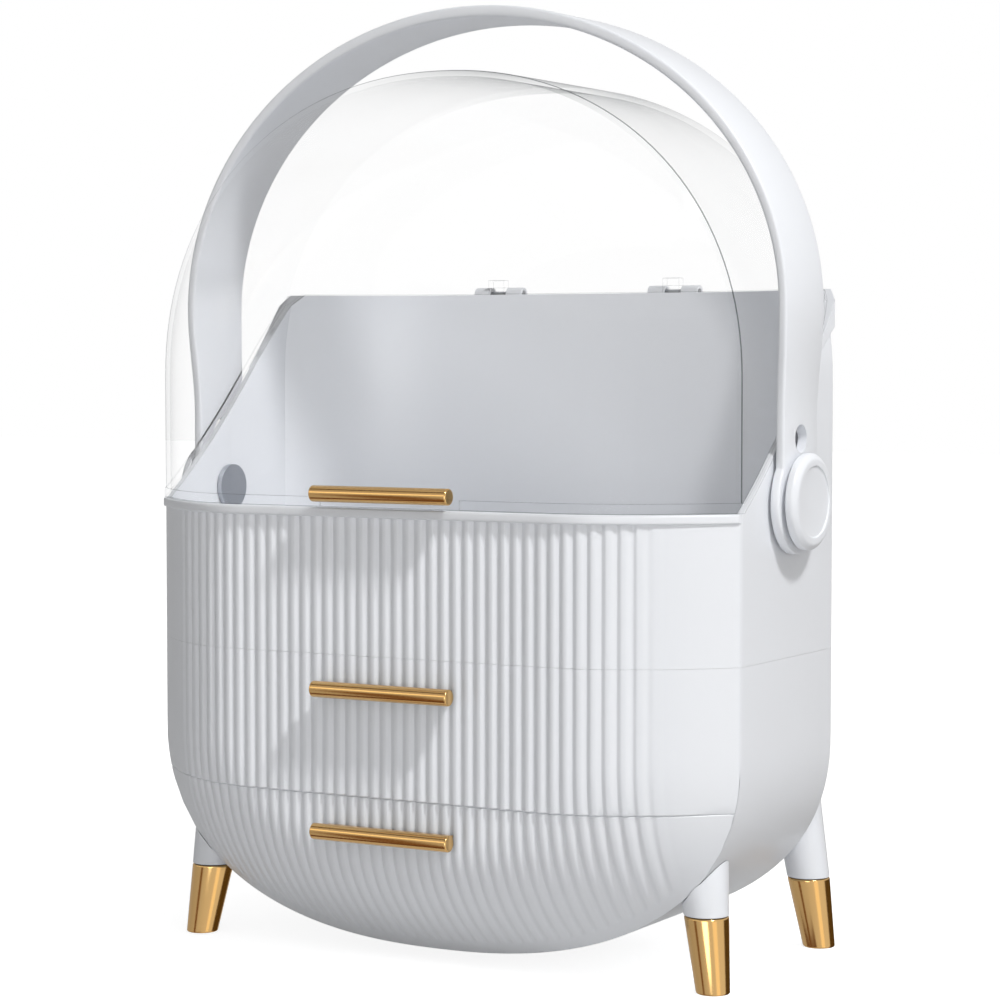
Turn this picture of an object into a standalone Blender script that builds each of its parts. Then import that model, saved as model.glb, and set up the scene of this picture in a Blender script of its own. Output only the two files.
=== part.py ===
"""Egg-shaped makeup organizer: a bin under a clear hinged hood, two drawers, a carry handle and four legs.

Metres, +Z up, front towards -Y. Standing on z = 0, with the origin under the middle of the whole object.
Inside the script every place is measured from the middle of the flat side walls.
"""
from math import cos, hypot, pi, radians, sin

import bmesh
import bpy
from mathutils import Matrix, Vector

# Clearances
GAP = 0.0003
SLIDE_GAP = 0.0007
OVERRUN = 0.002
MERGE_DISTANCE = 0.00003

# Body: an egg that is flat in the middle of its front and back, with flat side walls between them
BODY_HALF_WIDTH = 0.140
SIDE_HALF_DEPTH = 0.045
BULGE = 0.03775
FLAT_WIDTH_SHARE = 0.525
FLAT_HALF_WIDTH = FLAT_WIDTH_SHARE * BODY_HALF_WIDTH
BELLY_FOOT_Z = 0.006
BELLY_HALF_HEIGHT = 0.091
BELLY_CENTRE_Z = BELLY_FOOT_Z + BELLY_HALF_HEIGHT
BELLY_FLAT_SHARE = 0.4396
BELLY_FLAT_HALF_HEIGHT = BELLY_FLAT_SHARE * BELLY_HALF_HEIGHT
BELLY_EXPONENT = 2.35
CASE_WALL = 0.0025
HOOD_WALL = 0.0025

# Seams, and the rim that the hood closes on
LOWER_SEAM_DROP = 0.02295
UPPER_SEAM_RISE = 0.0352
BIN_FRONT_HEIGHT = 0.0608
RIM_SLANT_RISE = 0.0905
RIM_STRAIGHT_SHARE = 0.72
RIM_CORNER_SETBACK = 0.001
RIM_REAR_OVERHANG = 0.004
LOWER_SEAM_Z = BELLY_CENTRE_Z - LOWER_SEAM_DROP
UPPER_SEAM_Z = BELLY_CENTRE_Z + UPPER_SEAM_RISE
RIM_FRONT_Z = UPPER_SEAM_Z + BIN_FRONT_HEIGHT
RIM_REAR_Z = RIM_FRONT_Z + RIM_SLANT_RISE
RIM_SLANT_FRONT_Y = RIM_CORNER_SETBACK - SIDE_HALF_DEPTH
RIM_SLANT_REAR_Y = SIDE_HALF_DEPTH + RIM_REAR_OVERHANG
COLLAR_SIDE_PROUD = 0.0005
COLLAR_BACK_PROUD = 0.0008
COLLAR_ROOT_DEPTH = 0.0012
COLLAR_HEIGHT = 0.016
COLLAR_REACH = 0.025
LIP_HEIGHT = 0.0037
LIP_PROUD = 0.0015

# Dome of the hood
DOME_CENTRE_RISE = 0.0526
DOME_CENTRE_Z = RIM_FRONT_Z + DOME_CENTRE_RISE
DOME_HALF_HEIGHT = 0.1277
DOME_FLAT_SHARE = 0.3915
DOME_FLAT_HALF_HEIGHT = DOME_FLAT_SHARE * DOME_HALF_HEIGHT
DOME_EXPONENT = 2.12

# Flutes
FLUTE_COUNT_EACH_SIDE = 22
FLUTE_SHOULDER_SHARE = 0.28
FLUTE_SIDE_MARGIN = 0.01568
FLUTE_PITCH = (BODY_HALF_WIDTH - FLUTE_SIDE_MARGIN) / (FLUTE_COUNT_EACH_SIDE + FLUTE_SHOULDER_SHARE)
FLUTE_DEPTH = 0.001
FLUTE_END_MARGIN = 0.0045
FLUTE_RUN_OUT = 0.003
FLUTE_ROOM_SHARE = 0.25
LOWER_FRONT_SET_BACK = 0.0008

# Drawers
TRAY_WALL = 0.0018
TRAY_FROM_BACK = 0.02475
TRAY_BACK_Y = SIDE_HALF_DEPTH + BULGE - TRAY_FROM_BACK
SHELF_THICKNESS = 0.002
UPPER_TRAY_HEADROOM = 0.00615
LOWER_TRAY_HEADROOM = 0.00205
LOWER_TRAY_RISE = 0.014
LOWER_TRAY_BASE_Z = BELLY_FOOT_Z + LOWER_TRAY_RISE
UPPER_TRAY_HEIGHT = UPPER_SEAM_Z - LOWER_SEAM_Z - UPPER_TRAY_HEADROOM
LOWER_TRAY_HEIGHT = LOWER_SEAM_Z - SHELF_THICKNESS - LOWER_TRAY_HEADROOM - LOWER_TRAY_BASE_Z
LOWER_TRAY_INSET = 0.007
FLANGE_THICKNESS = 0.0025
UPPER_FLANGE_WIDTH = 0.006
LOWER_FLANGE_WIDTH = 0.009
RUNNER_X = 0.060
RUNNER_WIDTH = 0.004

# Gold pulls
PULL_LENGTH = 0.0655
PULL_RADIUS = 0.0034
PULL_STAND_OFF = 0.0071
PULL_END_CHAMFER = 0.0008
PULL_WEB_HEIGHT = 0.0045
PULL_WEB_INSET = 0.003
HOOD_PULL_RISE = 0.0059
UPPER_PULL_DROP = 0.0137
LOWER_PULL_SHARE = 0.9324
HOOD_PULL_Z = RIM_FRONT_Z + HOOD_PULL_RISE
UPPER_PULL_Z = UPPER_SEAM_Z - UPPER_PULL_DROP
LOWER_PULL_Z = BELLY_CENTRE_Z - LOWER_PULL_SHARE * BELLY_FLAT_HALF_HEIGHT
PULL_SCREW_X = 0.020

# Screws
SCREW_RADIUS = 0.001
SCREW_HEAD_RADIUS = 0.0026
SCREW_HEAD_HEIGHT = 0.0016
PULL_SCREW_DEPTH = 0.0052
CASE_SCREW_RADIUS = 0.0015
CASE_SCREW_HEAD_RADIUS = 0.0035
CASE_SCREW_DEPTH = 0.014
CASE_SCREW_X = 0.060
CASE_SCREW_FROM_BACK = 0.01375
CASE_SCREW_Y = SIDE_HALF_DEPTH + BULGE - CASE_SCREW_FROM_BACK
BOSS_RADIUS = 0.004
BOSS_HEIGHT = 0.030
BOSS_RIB_WIDTH = 0.003

# Pivots of the carry handle
PIVOT_RISE = 0.0031
PIVOT_Z = RIM_FRONT_Z + PIVOT_RISE
STUD_RADIUS = 0.0057
STUD_FLANGE_RADIUS = 0.010
STUD_FLANGE_THICKNESS = 0.0022
STUD_END_FROM_WALL = 0.0094
CAP_NECK_RADIUS = 0.012
CAP_NECK_LENGTH = 0.0014
CAP_RADIUS = 0.01975
CAP_FACE_RADIUS = 0.0175
CAP_RIM_LENGTH = 0.003
CAP_LENGTH = 0.0062
CAP_FIELD_RADIUS = 0.0145
CAP_FIELD_DEPTH = 0.0006

# Carry handle
HANDLE_WALL_GAP = 0.0012
HANDLE_THICKNESS_SIDE = 0.004
HANDLE_THICKNESS_TOP = 0.005
HANDLE_SPREAD = 0.0019
HANDLE_HALF_WIDTH = BODY_HALF_WIDTH + HANDLE_WALL_GAP + HANDLE_THICKNESS_SIDE + HANDLE_SPREAD
HANDLE_CENTRE_RISE = 0.0294
HANDLE_HEADROOM = 0.0295
HANDLE_LEAN_LENGTH = 0.045
HANDLE_CENTRE_Z = DOME_CENTRE_Z + HANDLE_CENTRE_RISE
HANDLE_TOP_Z = DOME_CENTRE_Z + DOME_HALF_HEIGHT + HANDLE_HEADROOM
HANDLE_BAND_HALF = 0.0188
HANDLE_ARM_BAND_HALF = 0.0165
HANDLE_CHAMFER = 0.0008
HANDLE_EYE_RADIUS = 0.0215
HANDLE_HOLE_RADIUS = 0.00575
HANDLE_HOLE_RISE = 0.0255

# Hinges of the hood
HINGE_X = 0.045
BARREL_RADIUS = 0.0032
HINGE_PIN_RADIUS = 0.0015
HOOD_BARREL_HALF = 0.004
CASE_BARREL_LENGTH = 0.008
HINGE_WEB_HEIGHT = 0.0065

# Legs: how far each foot and each leg's upper end lie inside the side walls and from the walls' edges
FOOT_INSET = 0.0145
FRONT_FOOT_SETBACK = 0.0056
REAR_FOOT_OVERHANG = 0.0215
FRONT_TOP_INSET = 0.023
FRONT_TOP_SETBACK = 0.0109
FRONT_TOP_DROP = 0.037
REAR_TOP_INSET = 0.0256
REAR_TOP_OVERHANG = 0.0118
REAR_TOP_DROP = 0.005
FRONT_SCREW_SHARE = 0.5667
REAR_SCREW_SHARE = 0.5217
TIP_HEIGHT = 0.0305
TIP_SOLE_RADIUS = 0.0060
TIP_FOOT_RADIUS = 0.0069
TIP_FOOT_ROUNDING = 0.0010
TIP_TOP_RADIUS = 0.00915
LEG_TOP_RADIUS = 0.0114
SPIGOT_RADIUS = 0.005
SPIGOT_LENGTH = 0.010
LEG_SCREW_DEPTH = 0.0085
LEG_SCREW_SEAT = 0.0005

# How finely round shapes are cut
ARC_STEPS = 26
BULGE_STEPS = 5
ROUND_SIDES = 20
SMALL_SIDES = 10
HANDLE_STEPS = 30
UPPER_FRONT_ROWS = 2
LOWER_FRONT_ROWS = 5
LOWER_ROW_CROWDING = 1.3
RIM_STEPS = 6
SEARCH_FINENESS = 8
FLAT_ENOUGH = 0.1
SHARP_ANGLE = 35

# Places that follow from the sizes above
FRONT_Y = -(SIDE_HALF_DEPTH + BULGE)
PULL_Y = FRONT_Y - PULL_STAND_OFF
HINGE_Y = SIDE_HALF_DEPTH + BULGE + COLLAR_BACK_PROUD + GAP + BARREL_RADIUS
MIDDLE_SHIFT = ((PULL_RADIUS - PULL_Y) - (HINGE_Y + BARREL_RADIUS)) / 2
FAR = 2 * HANDLE_TOP_Z

# Looks: a name, a colour, how rough it is and how metallic
SATIN_SHARE = 0.35
POLISHED_SHARE = 0.06
PLATED_SHARE = 0.18
WHITE = ("white_abs", (0.90, 0.90, 0.91, 1), SATIN_SHARE, 0)
CLEAR = ("clear_styrene", (0.95, 0.97, 0.98, 0.25), POLISHED_SHARE, 0)
GOLD = ("gold_plating", (0.90, 0.62, 0.28, 1), PLATED_SHARE, 1)
STEEL = ("zinc_plated_steel", (0.70, 0.70, 0.72, 1), SATIN_SHARE, 1)


def clear_scene():
    for old in list(bpy.data.objects):
        bpy.data.objects.remove(old, do_unlink=True)


def material(look):
    name, colour, roughness, metallic = look
    made = bpy.data.materials.get(name)
    if made is None:
        made = bpy.data.materials.new(name)
        made.use_nodes = True
        shader = made.node_tree.nodes["Principled BSDF"]
        shader.inputs["Base Color"].default_value = colour
        shader.inputs["Alpha"].default_value = colour[3]
        shader.inputs["Roughness"].default_value = roughness
        shader.inputs["Metallic"].default_value = metallic
    return made


def new_object(name, points, faces):
    """A closed mesh object, with its faces turned outwards."""
    mesh = bpy.data.meshes.new(name)
    mesh.from_pydata([tuple(p) for p in points], [], faces)
    shape = bmesh.new()
    shape.from_mesh(mesh)
    bmesh.ops.recalc_face_normals(shape, faces=shape.faces)
    shape.to_mesh(mesh)
    shape.free()
    made = bpy.data.objects.new(name, mesh)
    bpy.context.collection.objects.link(made)
    return made


def boolean(piece, tool, operation):
    """Applies one exact Boolean and removes the tool."""
    step = piece.modifiers.new(operation.lower(), "BOOLEAN")
    step.operation = operation
    step.solver = "EXACT"
    step.object = tool
    bpy.context.view_layer.update()
    shaped = bpy.data.meshes.new_from_object(piece.evaluated_get(bpy.context.evaluated_depsgraph_get()))
    piece.modifiers.clear()
    piece.data = shaped
    bpy.data.objects.remove(tool, do_unlink=True)
    return piece


def cut(piece, tool):
    return boolean(piece, tool, "DIFFERENCE")


def keep(piece, tool):
    return boolean(piece, tool, "INTERSECT")


def join(piece, tool):
    return boolean(piece, tool, "UNION")


def block(low, high):
    """A box between two corners."""
    points = [(x, y, z) for x in (low[0], high[0]) for y in (low[1], high[1]) for z in (low[2], high[2])]
    faces = [(0, 1, 3, 2), (4, 6, 7, 5), (0, 4, 5, 1), (2, 3, 7, 6), (0, 2, 6, 4), (1, 5, 7, 3)]
    return new_object("block", points, faces)


def slab(y_range=(-FAR, FAR), z_range=(-FAR, FAR)):
    """A box as wide as anything here, between two depths and two heights."""
    return block((-FAR, y_range[0], z_range[0]), (FAR, y_range[1], z_range[1]))


def loft(name, rings):
    """Closed rings of equal count joined in a row, with a flat face on each end."""
    count = len(rings[0])
    points = [p for ring in rings for p in ring]
    faces = [tuple(range(count)), tuple(range(len(points) - count, len(points)))]
    for r in range(len(rings) - 1):
        for i in range(count):
            j = (i + 1) % count
            faces.append((r * count + i, r * count + j, (r + 1) * count + j, (r + 1) * count + i))
    return new_object(name, points, faces)


def prism(profile):
    """An outline in Y and Z, drawn out along X past both sides."""
    return loft("prism", [[(x, y, z) for y, z in profile] for x in (-FAR, FAR)])


def turned(name, profile, start, direction, sides=ROUND_SIDES):
    """A round piece from (distance, radius) pairs along an axis."""
    turn = Vector((0, 0, 1)).rotation_difference(Vector(direction)).to_matrix()
    rings = []
    for distance, radius in profile:
        ring = []
        for i in range(sides):
            angle = 2 * pi * (i + 0.5) / sides
            ring.append(Vector(start) + turn @ Vector((radius * cos(angle), radius * sin(angle), distance)))
        rings.append(ring)
    return loft(name, rings)


def rod(start, direction, length, radius, sides=SMALL_SIDES):
    return turned("rod", [(0, radius), (length, radius)], start, direction, sides)


def finish(piece, name, look, parent, origin=(0, 0, 0)):
    """Names, colours and parents a piece; its own origin goes to the given place."""
    piece.name = name
    piece.data.name = name
    piece.data.materials.clear()
    piece.data.materials.append(material(look))
    offset = Vector(origin)
    piece.data.transform(Matrix.Translation(-offset))
    piece.parent = parent
    piece.location = offset - Vector(parent["place"])
    piece.data.shade_smooth()
    piece.data.set_sharp_from_angle(angle=radians(SHARP_ANGLE))
    return piece


def axis_empty(name, place, parent=None):
    """An empty on a joint's axis, which its moving pieces hang from."""
    made = bpy.data.objects.new(name, None)
    bpy.context.collection.objects.link(made)
    made["place"] = place
    made.parent = parent
    made.location = Vector(place) - Vector(parent["place"]) if parent else Vector((0, MIDDLE_SHIFT, 0))
    return made


# The egg

def superellipse(angle, half_width, half_height, exponent):
    """A point of a superellipse about its own centre."""
    power = 2 / exponent
    x = half_width * abs(cos(angle)) ** power * (1 if cos(angle) >= 0 else -1)
    z = half_height * abs(sin(angle)) ** power * (1 if sin(angle) >= 0 else -1)
    return x, z


def blended(angle, share, inset, low):
    """A point between the flat middle (share 0) and the side wall's outline (share 1)."""
    half_height = (BELLY_HALF_HEIGHT if low else DOME_HALF_HEIGHT) - inset
    flat_height = BELLY_FLAT_HALF_HEIGHT if low else DOME_FLAT_HALF_HEIGHT
    exponent = BELLY_EXPONENT if low else DOME_EXPONENT
    centre = BELLY_CENTRE_Z if low else DOME_CENTRE_Z
    flat = superellipse(angle, FLAT_HALF_WIDTH, flat_height, exponent)
    edge = superellipse(angle, BODY_HALF_WIDTH - inset, half_height, exponent)
    return tuple(f + share * (e - f) for f, e in zip(flat, edge)), centre


def egg_ring(share, y, inset):
    """The egg's outline at one depth: belly, straight sides and dome."""
    ring = []
    for low in (True, False):
        for i in range(ARC_STEPS + 1):
            angle = (pi if low else 0) + pi * i / ARC_STEPS
            (x, z), centre = blended(angle, share, inset, low)
            ring.append((x, y, centre + z))
    return ring


def bulge_y(share, inset, bulge=BULGE):
    """How far the front or back stands from the middle at a share of its slope."""
    return SIDE_HALF_DEPTH + (bulge - inset) * (1 - share ** 2)


def egg(inset=0):
    """The whole closed egg, drawn in by an inset all round."""
    shares = [i / BULGE_STEPS for i in range(BULGE_STEPS + 1)]
    rings = [egg_ring(s, -bulge_y(s, inset), inset) for s in shares]
    rings += [egg_ring(s, bulge_y(s, inset), inset) for s in reversed(shares)]
    return loft("egg", rings)


def front_share(x, z):
    """The share of the front's slope at a place seen from the front."""
    drop = BELLY_CENTRE_Z - z
    if drop <= 0:
        return max(0, (abs(x) - FLAT_HALF_WIDTH) / (BODY_HALF_WIDTH - FLAT_HALF_WIDTH))
    flat = hypot_power(x / FLAT_HALF_WIDTH, drop / BELLY_FLAT_HALF_HEIGHT)
    edge = hypot_power(x / BODY_HALF_WIDTH, drop / BELLY_HALF_HEIGHT)
    if flat <= 1:
        return 0
    return min(1, (1 - 1 / flat) / (1 / edge - 1 / flat))


def hypot_power(across, down):
    """Distance from the centre in the belly's superellipse measure."""
    return (abs(across) ** BELLY_EXPONENT + abs(down) ** BELLY_EXPONENT) ** (1 / BELLY_EXPONENT)


def belly_z(x):
    """Height of the belly's outline under a place across the body."""
    across = min(1, abs(x) / BODY_HALF_WIDTH)
    return BELLY_CENTRE_Z - BELLY_HALF_HEIGHT * (1 - across ** BELLY_EXPONENT) ** (1 / BELLY_EXPONENT)


def flute_columns(half_width):
    """Places across a front: the valley and two shoulders of each flute, then the plain margins."""
    reach = (FLUTE_COUNT_EACH_SIDE + FLUTE_SHOULDER_SHARE) * FLUTE_PITCH
    columns = []
    for k in range(-FLUTE_COUNT_EACH_SIDE, FLUTE_COUNT_EACH_SIDE + 1):
        for shoulder, depth in ((-FLUTE_SHOULDER_SHARE, 0), (0, FLUTE_DEPTH), (FLUTE_SHOULDER_SHARE, 0)):
            columns.append(((k + shoulder) * FLUTE_PITCH, depth))
    margin = [(x, 0) for x in (half_width, (half_width + reach) / 2)]
    return [(-x, d) for x, d in margin] + columns + [(x, d) for x, d in reversed(margin)]


def fluted_front(columns, rows_of, bulge=BULGE):
    """A solid block with a fluted, bulged front; rows_of(x) gives (height, proud, flute share) rows."""
    points = []
    for x, depth in columns:
        for z, proud, flute_share in rows_of(x):
            share = front_share(x, z)
            y = -(SIDE_HALF_DEPTH + bulge * (1 - share ** 2)) + depth * flute_share - proud
            points.append((x, y, z))
    rows = len(rows_of(0))
    wide = len(columns)
    feet = [c * rows for c in range(wide)]
    tops = [foot + rows - 1 for foot in feet]

    def on_back(index):
        return abs(points[index][1] + SIDE_HALF_DEPTH) < MERGE_DISTANCE

    def behind(index):
        """The point itself, or a new one straight behind it on the back plane."""
        if on_back(index):
            return index
        points.append((points[index][0], -SIDE_HALF_DEPTH, points[index][2]))
        return len(points) - 1

    foot_line = [behind(feet[0])] + feet + [behind(feet[-1])]
    top_left, top_right = behind(tops[0]), behind(tops[-1])
    faces = [(a, a + rows, a + rows + 1, a + 1) for foot in feet[:-1] for a in range(foot, foot + rows - 1)]
    faces.append(tuple([top_left] + tops + [top_right]))
    faces.append(tuple(list(range(feet[0], tops[0] + 1)) + [top_left, foot_line[0]]))
    faces.append(tuple(list(range(feet[-1], tops[-1] + 1)) + [top_right, foot_line[-1]]))
    faces.append(tuple([i for i in foot_line if on_back(i)] + [top_right, top_left]))
    forward = [n for n, i in enumerate(foot_line) if not on_back(i)]
    if forward:
        faces.append(tuple(foot_line[forward[0] - 1:forward[-1] + 2]))
    faces = [tuple(dict.fromkeys(face)) for face in faces]
    made = new_object("front", points, faces)
    tidy = bmesh.new()
    tidy.from_mesh(made.data)
    bmesh.ops.remove_doubles(tidy, verts=tidy.verts, dist=MERGE_DISTANCE)
    bmesh.ops.dissolve_limit(tidy, angle_limit=radians(FLAT_ENOUGH), verts=tidy.verts, edges=tidy.edges)
    bmesh.ops.recalc_face_normals(tidy, faces=tidy.faces)
    tidy.to_mesh(made.data)
    tidy.free()
    return made


def rim_z(y):
    """Height of the rim at a depth: level in front and behind, with a slightly hollow slope between."""
    way = (y - RIM_SLANT_FRONT_Y) / (RIM_SLANT_REAR_Y - RIM_SLANT_FRONT_Y)
    way = max(0, min(1, way))
    return RIM_FRONT_Z + RIM_SLANT_RISE * (RIM_STRAIGHT_SHARE * way + (1 - RIM_STRAIGHT_SHARE) * way ** 2)


def rim_line(rise=0, start=-FAR):
    """The line in Y and Z where the hood meets the bin, raised or lowered, from a place in Y to the back."""
    step = (RIM_SLANT_REAR_Y - RIM_SLANT_FRONT_Y) / RIM_STEPS
    bends = [RIM_SLANT_FRONT_Y + step * i for i in range(RIM_STEPS + 1)]
    return [(y, rim_z(y) + rise) for y in [start] + [bend for bend in bends if bend > start] + [FAR]]


# Pieces of the case

def make_drawer_case(parent):
    case = keep(egg(), slab((GAP - SIDE_HALF_DEPTH, FAR), (0, UPPER_SEAM_Z - GAP / 2)))
    case = cut(case, egg(CASE_WALL))
    for side in (-1, 1):
        x = side * RUNNER_X
        runner = block((x - RUNNER_WIDTH / 2, GAP - SIDE_HALF_DEPTH, 0),
                       (x + RUNNER_WIDTH / 2, TRAY_BACK_Y, LOWER_TRAY_BASE_Z - GAP))
        case = join(case, keep(runner, egg(CASE_WALL / 2)))
        boss = rod((side * CASE_SCREW_X, CASE_SCREW_Y, UPPER_SEAM_Z - GAP / 2), (0, 0, -1), BOSS_HEIGHT,
                   BOSS_RADIUS)
        boss_top = UPPER_SEAM_Z - GAP / 2
        rib = block((side * CASE_SCREW_X - BOSS_RIB_WIDTH / 2, CASE_SCREW_Y, boss_top - BOSS_HEIGHT),
                    (side * CASE_SCREW_X + BOSS_RIB_WIDTH / 2, FAR, boss_top))
        case = join(case, join(boss, keep(rib, egg(CASE_WALL / 2))))
        hole = rod((side * CASE_SCREW_X, CASE_SCREW_Y, UPPER_SEAM_Z), (0, 0, -1),
                   CASE_SCREW_DEPTH, CASE_SCREW_RADIUS + GAP)
        case = cut(case, hole)
    for leg in legs():
        case = cut(case, rod(leg["seat"] - leg["into"] * OVERRUN, leg["into"], 2 * (CASE_WALL + OVERRUN),
                             SCREW_RADIUS + GAP, ROUND_SIDES))
    return finish(case, "drawer_case", WHITE, parent)


def make_drawer_shelf(parent):
    shelf_top = LOWER_SEAM_Z - GAP / 2
    shelf = keep(egg(CASE_WALL + GAP),
                 slab((2 * GAP - SIDE_HALF_DEPTH, FAR), (shelf_top - SHELF_THICKNESS, shelf_top)))
    return finish(shelf, "drawer_shelf", WHITE, parent)


def hinge_web(x_low, x_high, z_low, z_high):
    """A block that carries a hinge barrel on the back of the bin or the hood."""
    return block((x_low, HINGE_Y - BARREL_RADIUS - COLLAR_BACK_PROUD - CASE_WALL, z_low),
                 (x_high, HINGE_Y, z_high))


def collar():
    """The upright band round the back of the bin, which runs out forwards along the slanted rim."""
    half_width, bulge = BODY_HALF_WIDTH + COLLAR_SIDE_PROUD, BULGE + COLLAR_BACK_PROUD
    start_y, low_z = SIDE_HALF_DEPTH - COLLAR_REACH, RIM_REAR_Z - COLLAR_HEIGHT
    shares = [i / BULGE_STEPS for i in range(BULGE_STEPS + 1)]
    arc = [(FLAT_HALF_WIDTH + s * (half_width - FLAT_HALF_WIDTH), SIDE_HALF_DEPTH + bulge * (1 - s ** 2))
           for s in shares]
    plan = [(-x, y) for x, y in reversed(arc)] + arc
    plan = [(-half_width, 0)] + plan + [(half_width, 0)]
    band = loft("collar", [[(x, y, z) for x, y in plan] for z in (UPPER_SEAM_Z, HANDLE_TOP_Z)])
    outline = rim_line(-GAP / 2, start_y) + [(FAR, low_z), (SIDE_HALF_DEPTH, low_z)]
    return cut(keep(band, prism(outline)), egg(COLLAR_ROOT_DEPTH))


def make_bin_case(parent):
    floor_z = UPPER_SEAM_Z + GAP / 2
    under_rim = prism(rim_line(-GAP / 2) + [(FAR, 0), (-FAR, 0)])
    case = keep(keep(egg(), slab((GAP - SIDE_HALF_DEPTH, FAR), (floor_z, FAR))), under_rim)
    case = cut(case, keep(egg(CASE_WALL), slab(z_range=(floor_z + CASE_WALL, FAR))))
    case = join(case, collar())
    for side in (-1, 1):
        for end in (-1, 1):
            near = side * HINGE_X + end * (HOOD_BARREL_HALF + GAP)
            far = near + end * CASE_BARREL_LENGTH
            low, high = min(near, far), max(near, far)
            web = hinge_web(low, high, RIM_REAR_Z - HINGE_WEB_HEIGHT, RIM_REAR_Z - GAP)
            barrel = rod((low, HINGE_Y, RIM_REAR_Z), (1, 0, 0), CASE_BARREL_LENGTH, BARREL_RADIUS,
                         ROUND_SIDES)
            case = join(case, join(barrel, web))
        case = cut(case, rod((side * HINGE_X - HINGE_X / 2, HINGE_Y, RIM_REAR_Z), (1, 0, 0), HINGE_X,
                             HINGE_PIN_RADIUS + GAP))
        inside = (side * (BODY_HALF_WIDTH - 2 * CASE_WALL), 0, PIVOT_Z)
        case = cut(case, rod(inside, (side, 0, 0), 3 * CASE_WALL, STUD_RADIUS + GAP, ROUND_SIDES))
        case = cut(case, rod((side * CASE_SCREW_X, CASE_SCREW_Y, floor_z - OVERRUN), (0, 0, 1),
                             CASE_WALL + 2 * OVERRUN, CASE_SCREW_RADIUS + GAP))
    return finish(case, "bin_case", WHITE, parent)


def make_bin_front(parent):
    floor_z = UPPER_SEAM_Z + GAP / 2
    top_z = RIM_FRONT_Z - GAP / 2
    lip_z = top_z - LIP_HEIGHT
    rows = [(floor_z, 0, 1), (lip_z, 0, 1), (lip_z, LIP_PROUD, 0), (top_z, LIP_PROUD, 0)]
    front = fluted_front(flute_columns(BODY_HALF_WIDTH - GAP), lambda x: rows)
    cavity = keep(egg(CASE_WALL), slab(z_range=(floor_z + CASE_WALL, FAR)))
    return finish(cut(front, cavity), "bin_front", WHITE, parent)


def make_stud(side, parent):
    wall = BODY_HALF_WIDTH - CASE_WALL
    flange = [(0, STUD_FLANGE_RADIUS), (STUD_FLANGE_THICKNESS, STUD_FLANGE_RADIUS)]
    shaft_end = STUD_FLANGE_THICKNESS + GAP + CASE_WALL + STUD_END_FROM_WALL
    shaft = [(STUD_FLANGE_THICKNESS, STUD_RADIUS), (shaft_end, STUD_RADIUS)]
    start = (side * (wall - GAP - STUD_FLANGE_THICKNESS), 0, PIVOT_Z)
    stud = turned("stud", flange + shaft, start, (side, 0, 0))
    return finish(stud, "pivot_stud_" + side_word(side), STEEL, parent)


def make_cap(side, parent):
    arm_face = BODY_HALF_WIDTH + HANDLE_WALL_GAP + HANDLE_THICKNESS_SIDE
    profile = [(0, CAP_NECK_RADIUS), (CAP_NECK_LENGTH, CAP_NECK_RADIUS), (CAP_NECK_LENGTH, CAP_RADIUS),
               (CAP_NECK_LENGTH + CAP_RIM_LENGTH, CAP_RADIUS), (CAP_LENGTH, CAP_FACE_RADIUS),
               (CAP_LENGTH, CAP_FIELD_RADIUS), (CAP_LENGTH - CAP_FIELD_DEPTH, CAP_FIELD_RADIUS)]
    start = Vector((side * (arm_face + GAP), 0, PIVOT_Z))
    cap = turned("cap", profile, start, (side, 0, 0), 2 * ROUND_SIDES)
    bore_length = BODY_HALF_WIDTH + STUD_END_FROM_WALL - arm_face
    bore = rod(start - Vector((side * OVERRUN, 0, 0)), (side, 0, 0), bore_length + OVERRUN, STUD_RADIUS + GAP,
               ROUND_SIDES)
    return finish(cut(cap, bore), "pivot_cap_" + side_word(side), WHITE, parent)


def side_word(side):
    return "left" if side < 0 else "right"


# Legs

def legs():
    """Each leg's name, foot, top and the seat of its screw on the belly."""
    made = []
    foot_x = BODY_HALF_WIDTH - FOOT_INSET
    front = (Vector((foot_x, FRONT_FOOT_SETBACK - SIDE_HALF_DEPTH, 0)),
             Vector((BODY_HALF_WIDTH - FRONT_TOP_INSET, FRONT_TOP_SETBACK - SIDE_HALF_DEPTH,
                     BELLY_CENTRE_Z - FRONT_TOP_DROP)))
    rear = (Vector((foot_x, SIDE_HALF_DEPTH + REAR_FOOT_OVERHANG, 0)),
            Vector((BODY_HALF_WIDTH - REAR_TOP_INSET, SIDE_HALF_DEPTH + REAR_TOP_OVERHANG,
                    BELLY_CENTRE_Z - REAR_TOP_DROP)))
    ends = (("front", front, FRONT_SCREW_SHARE), ("rear", rear, REAR_SCREW_SHARE))
    for end, (foot, top), screw_share in ends:
        for side in (-1, 1):
            across = Vector((side, 1, 1))
            foot_point, top_point = foot * across, top * across
            core = foot_point.lerp(top_point, screw_share)
            skin = nearest_on_belly(core)
            into = (core - skin).normalized()
            seat = skin - into * (CASE_WALL + LEG_SCREW_SEAT)
            made.append({"name": end + "_" + side_word(side), "foot": foot_point, "top": top_point,
                         "into": into, "seat": seat})
    return made


def nearest_on_belly(place):
    """The point of the egg's underside that is nearest to a place outside it."""
    end = 1 if place.y > 0 else -1
    best = None
    arc_steps, bulge_steps = SEARCH_FINENESS * ARC_STEPS, SEARCH_FINENESS * BULGE_STEPS
    for i in range(arc_steps + 1):
        angle = pi + pi * i / arc_steps
        for j in range(bulge_steps + 1):
            share = j / bulge_steps
            (x, z), centre = blended(angle, share, 0, True)
            y = end * bulge_y(share, 0)
            if share == 1:
                y = max(-SIDE_HALF_DEPTH, min(SIDE_HALF_DEPTH, place.y))
            point = Vector((x, y, centre + z))
            distance = (point - place).length
            if best is None or distance < best[0]:
                best = (distance, point)
    return best[1]


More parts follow.
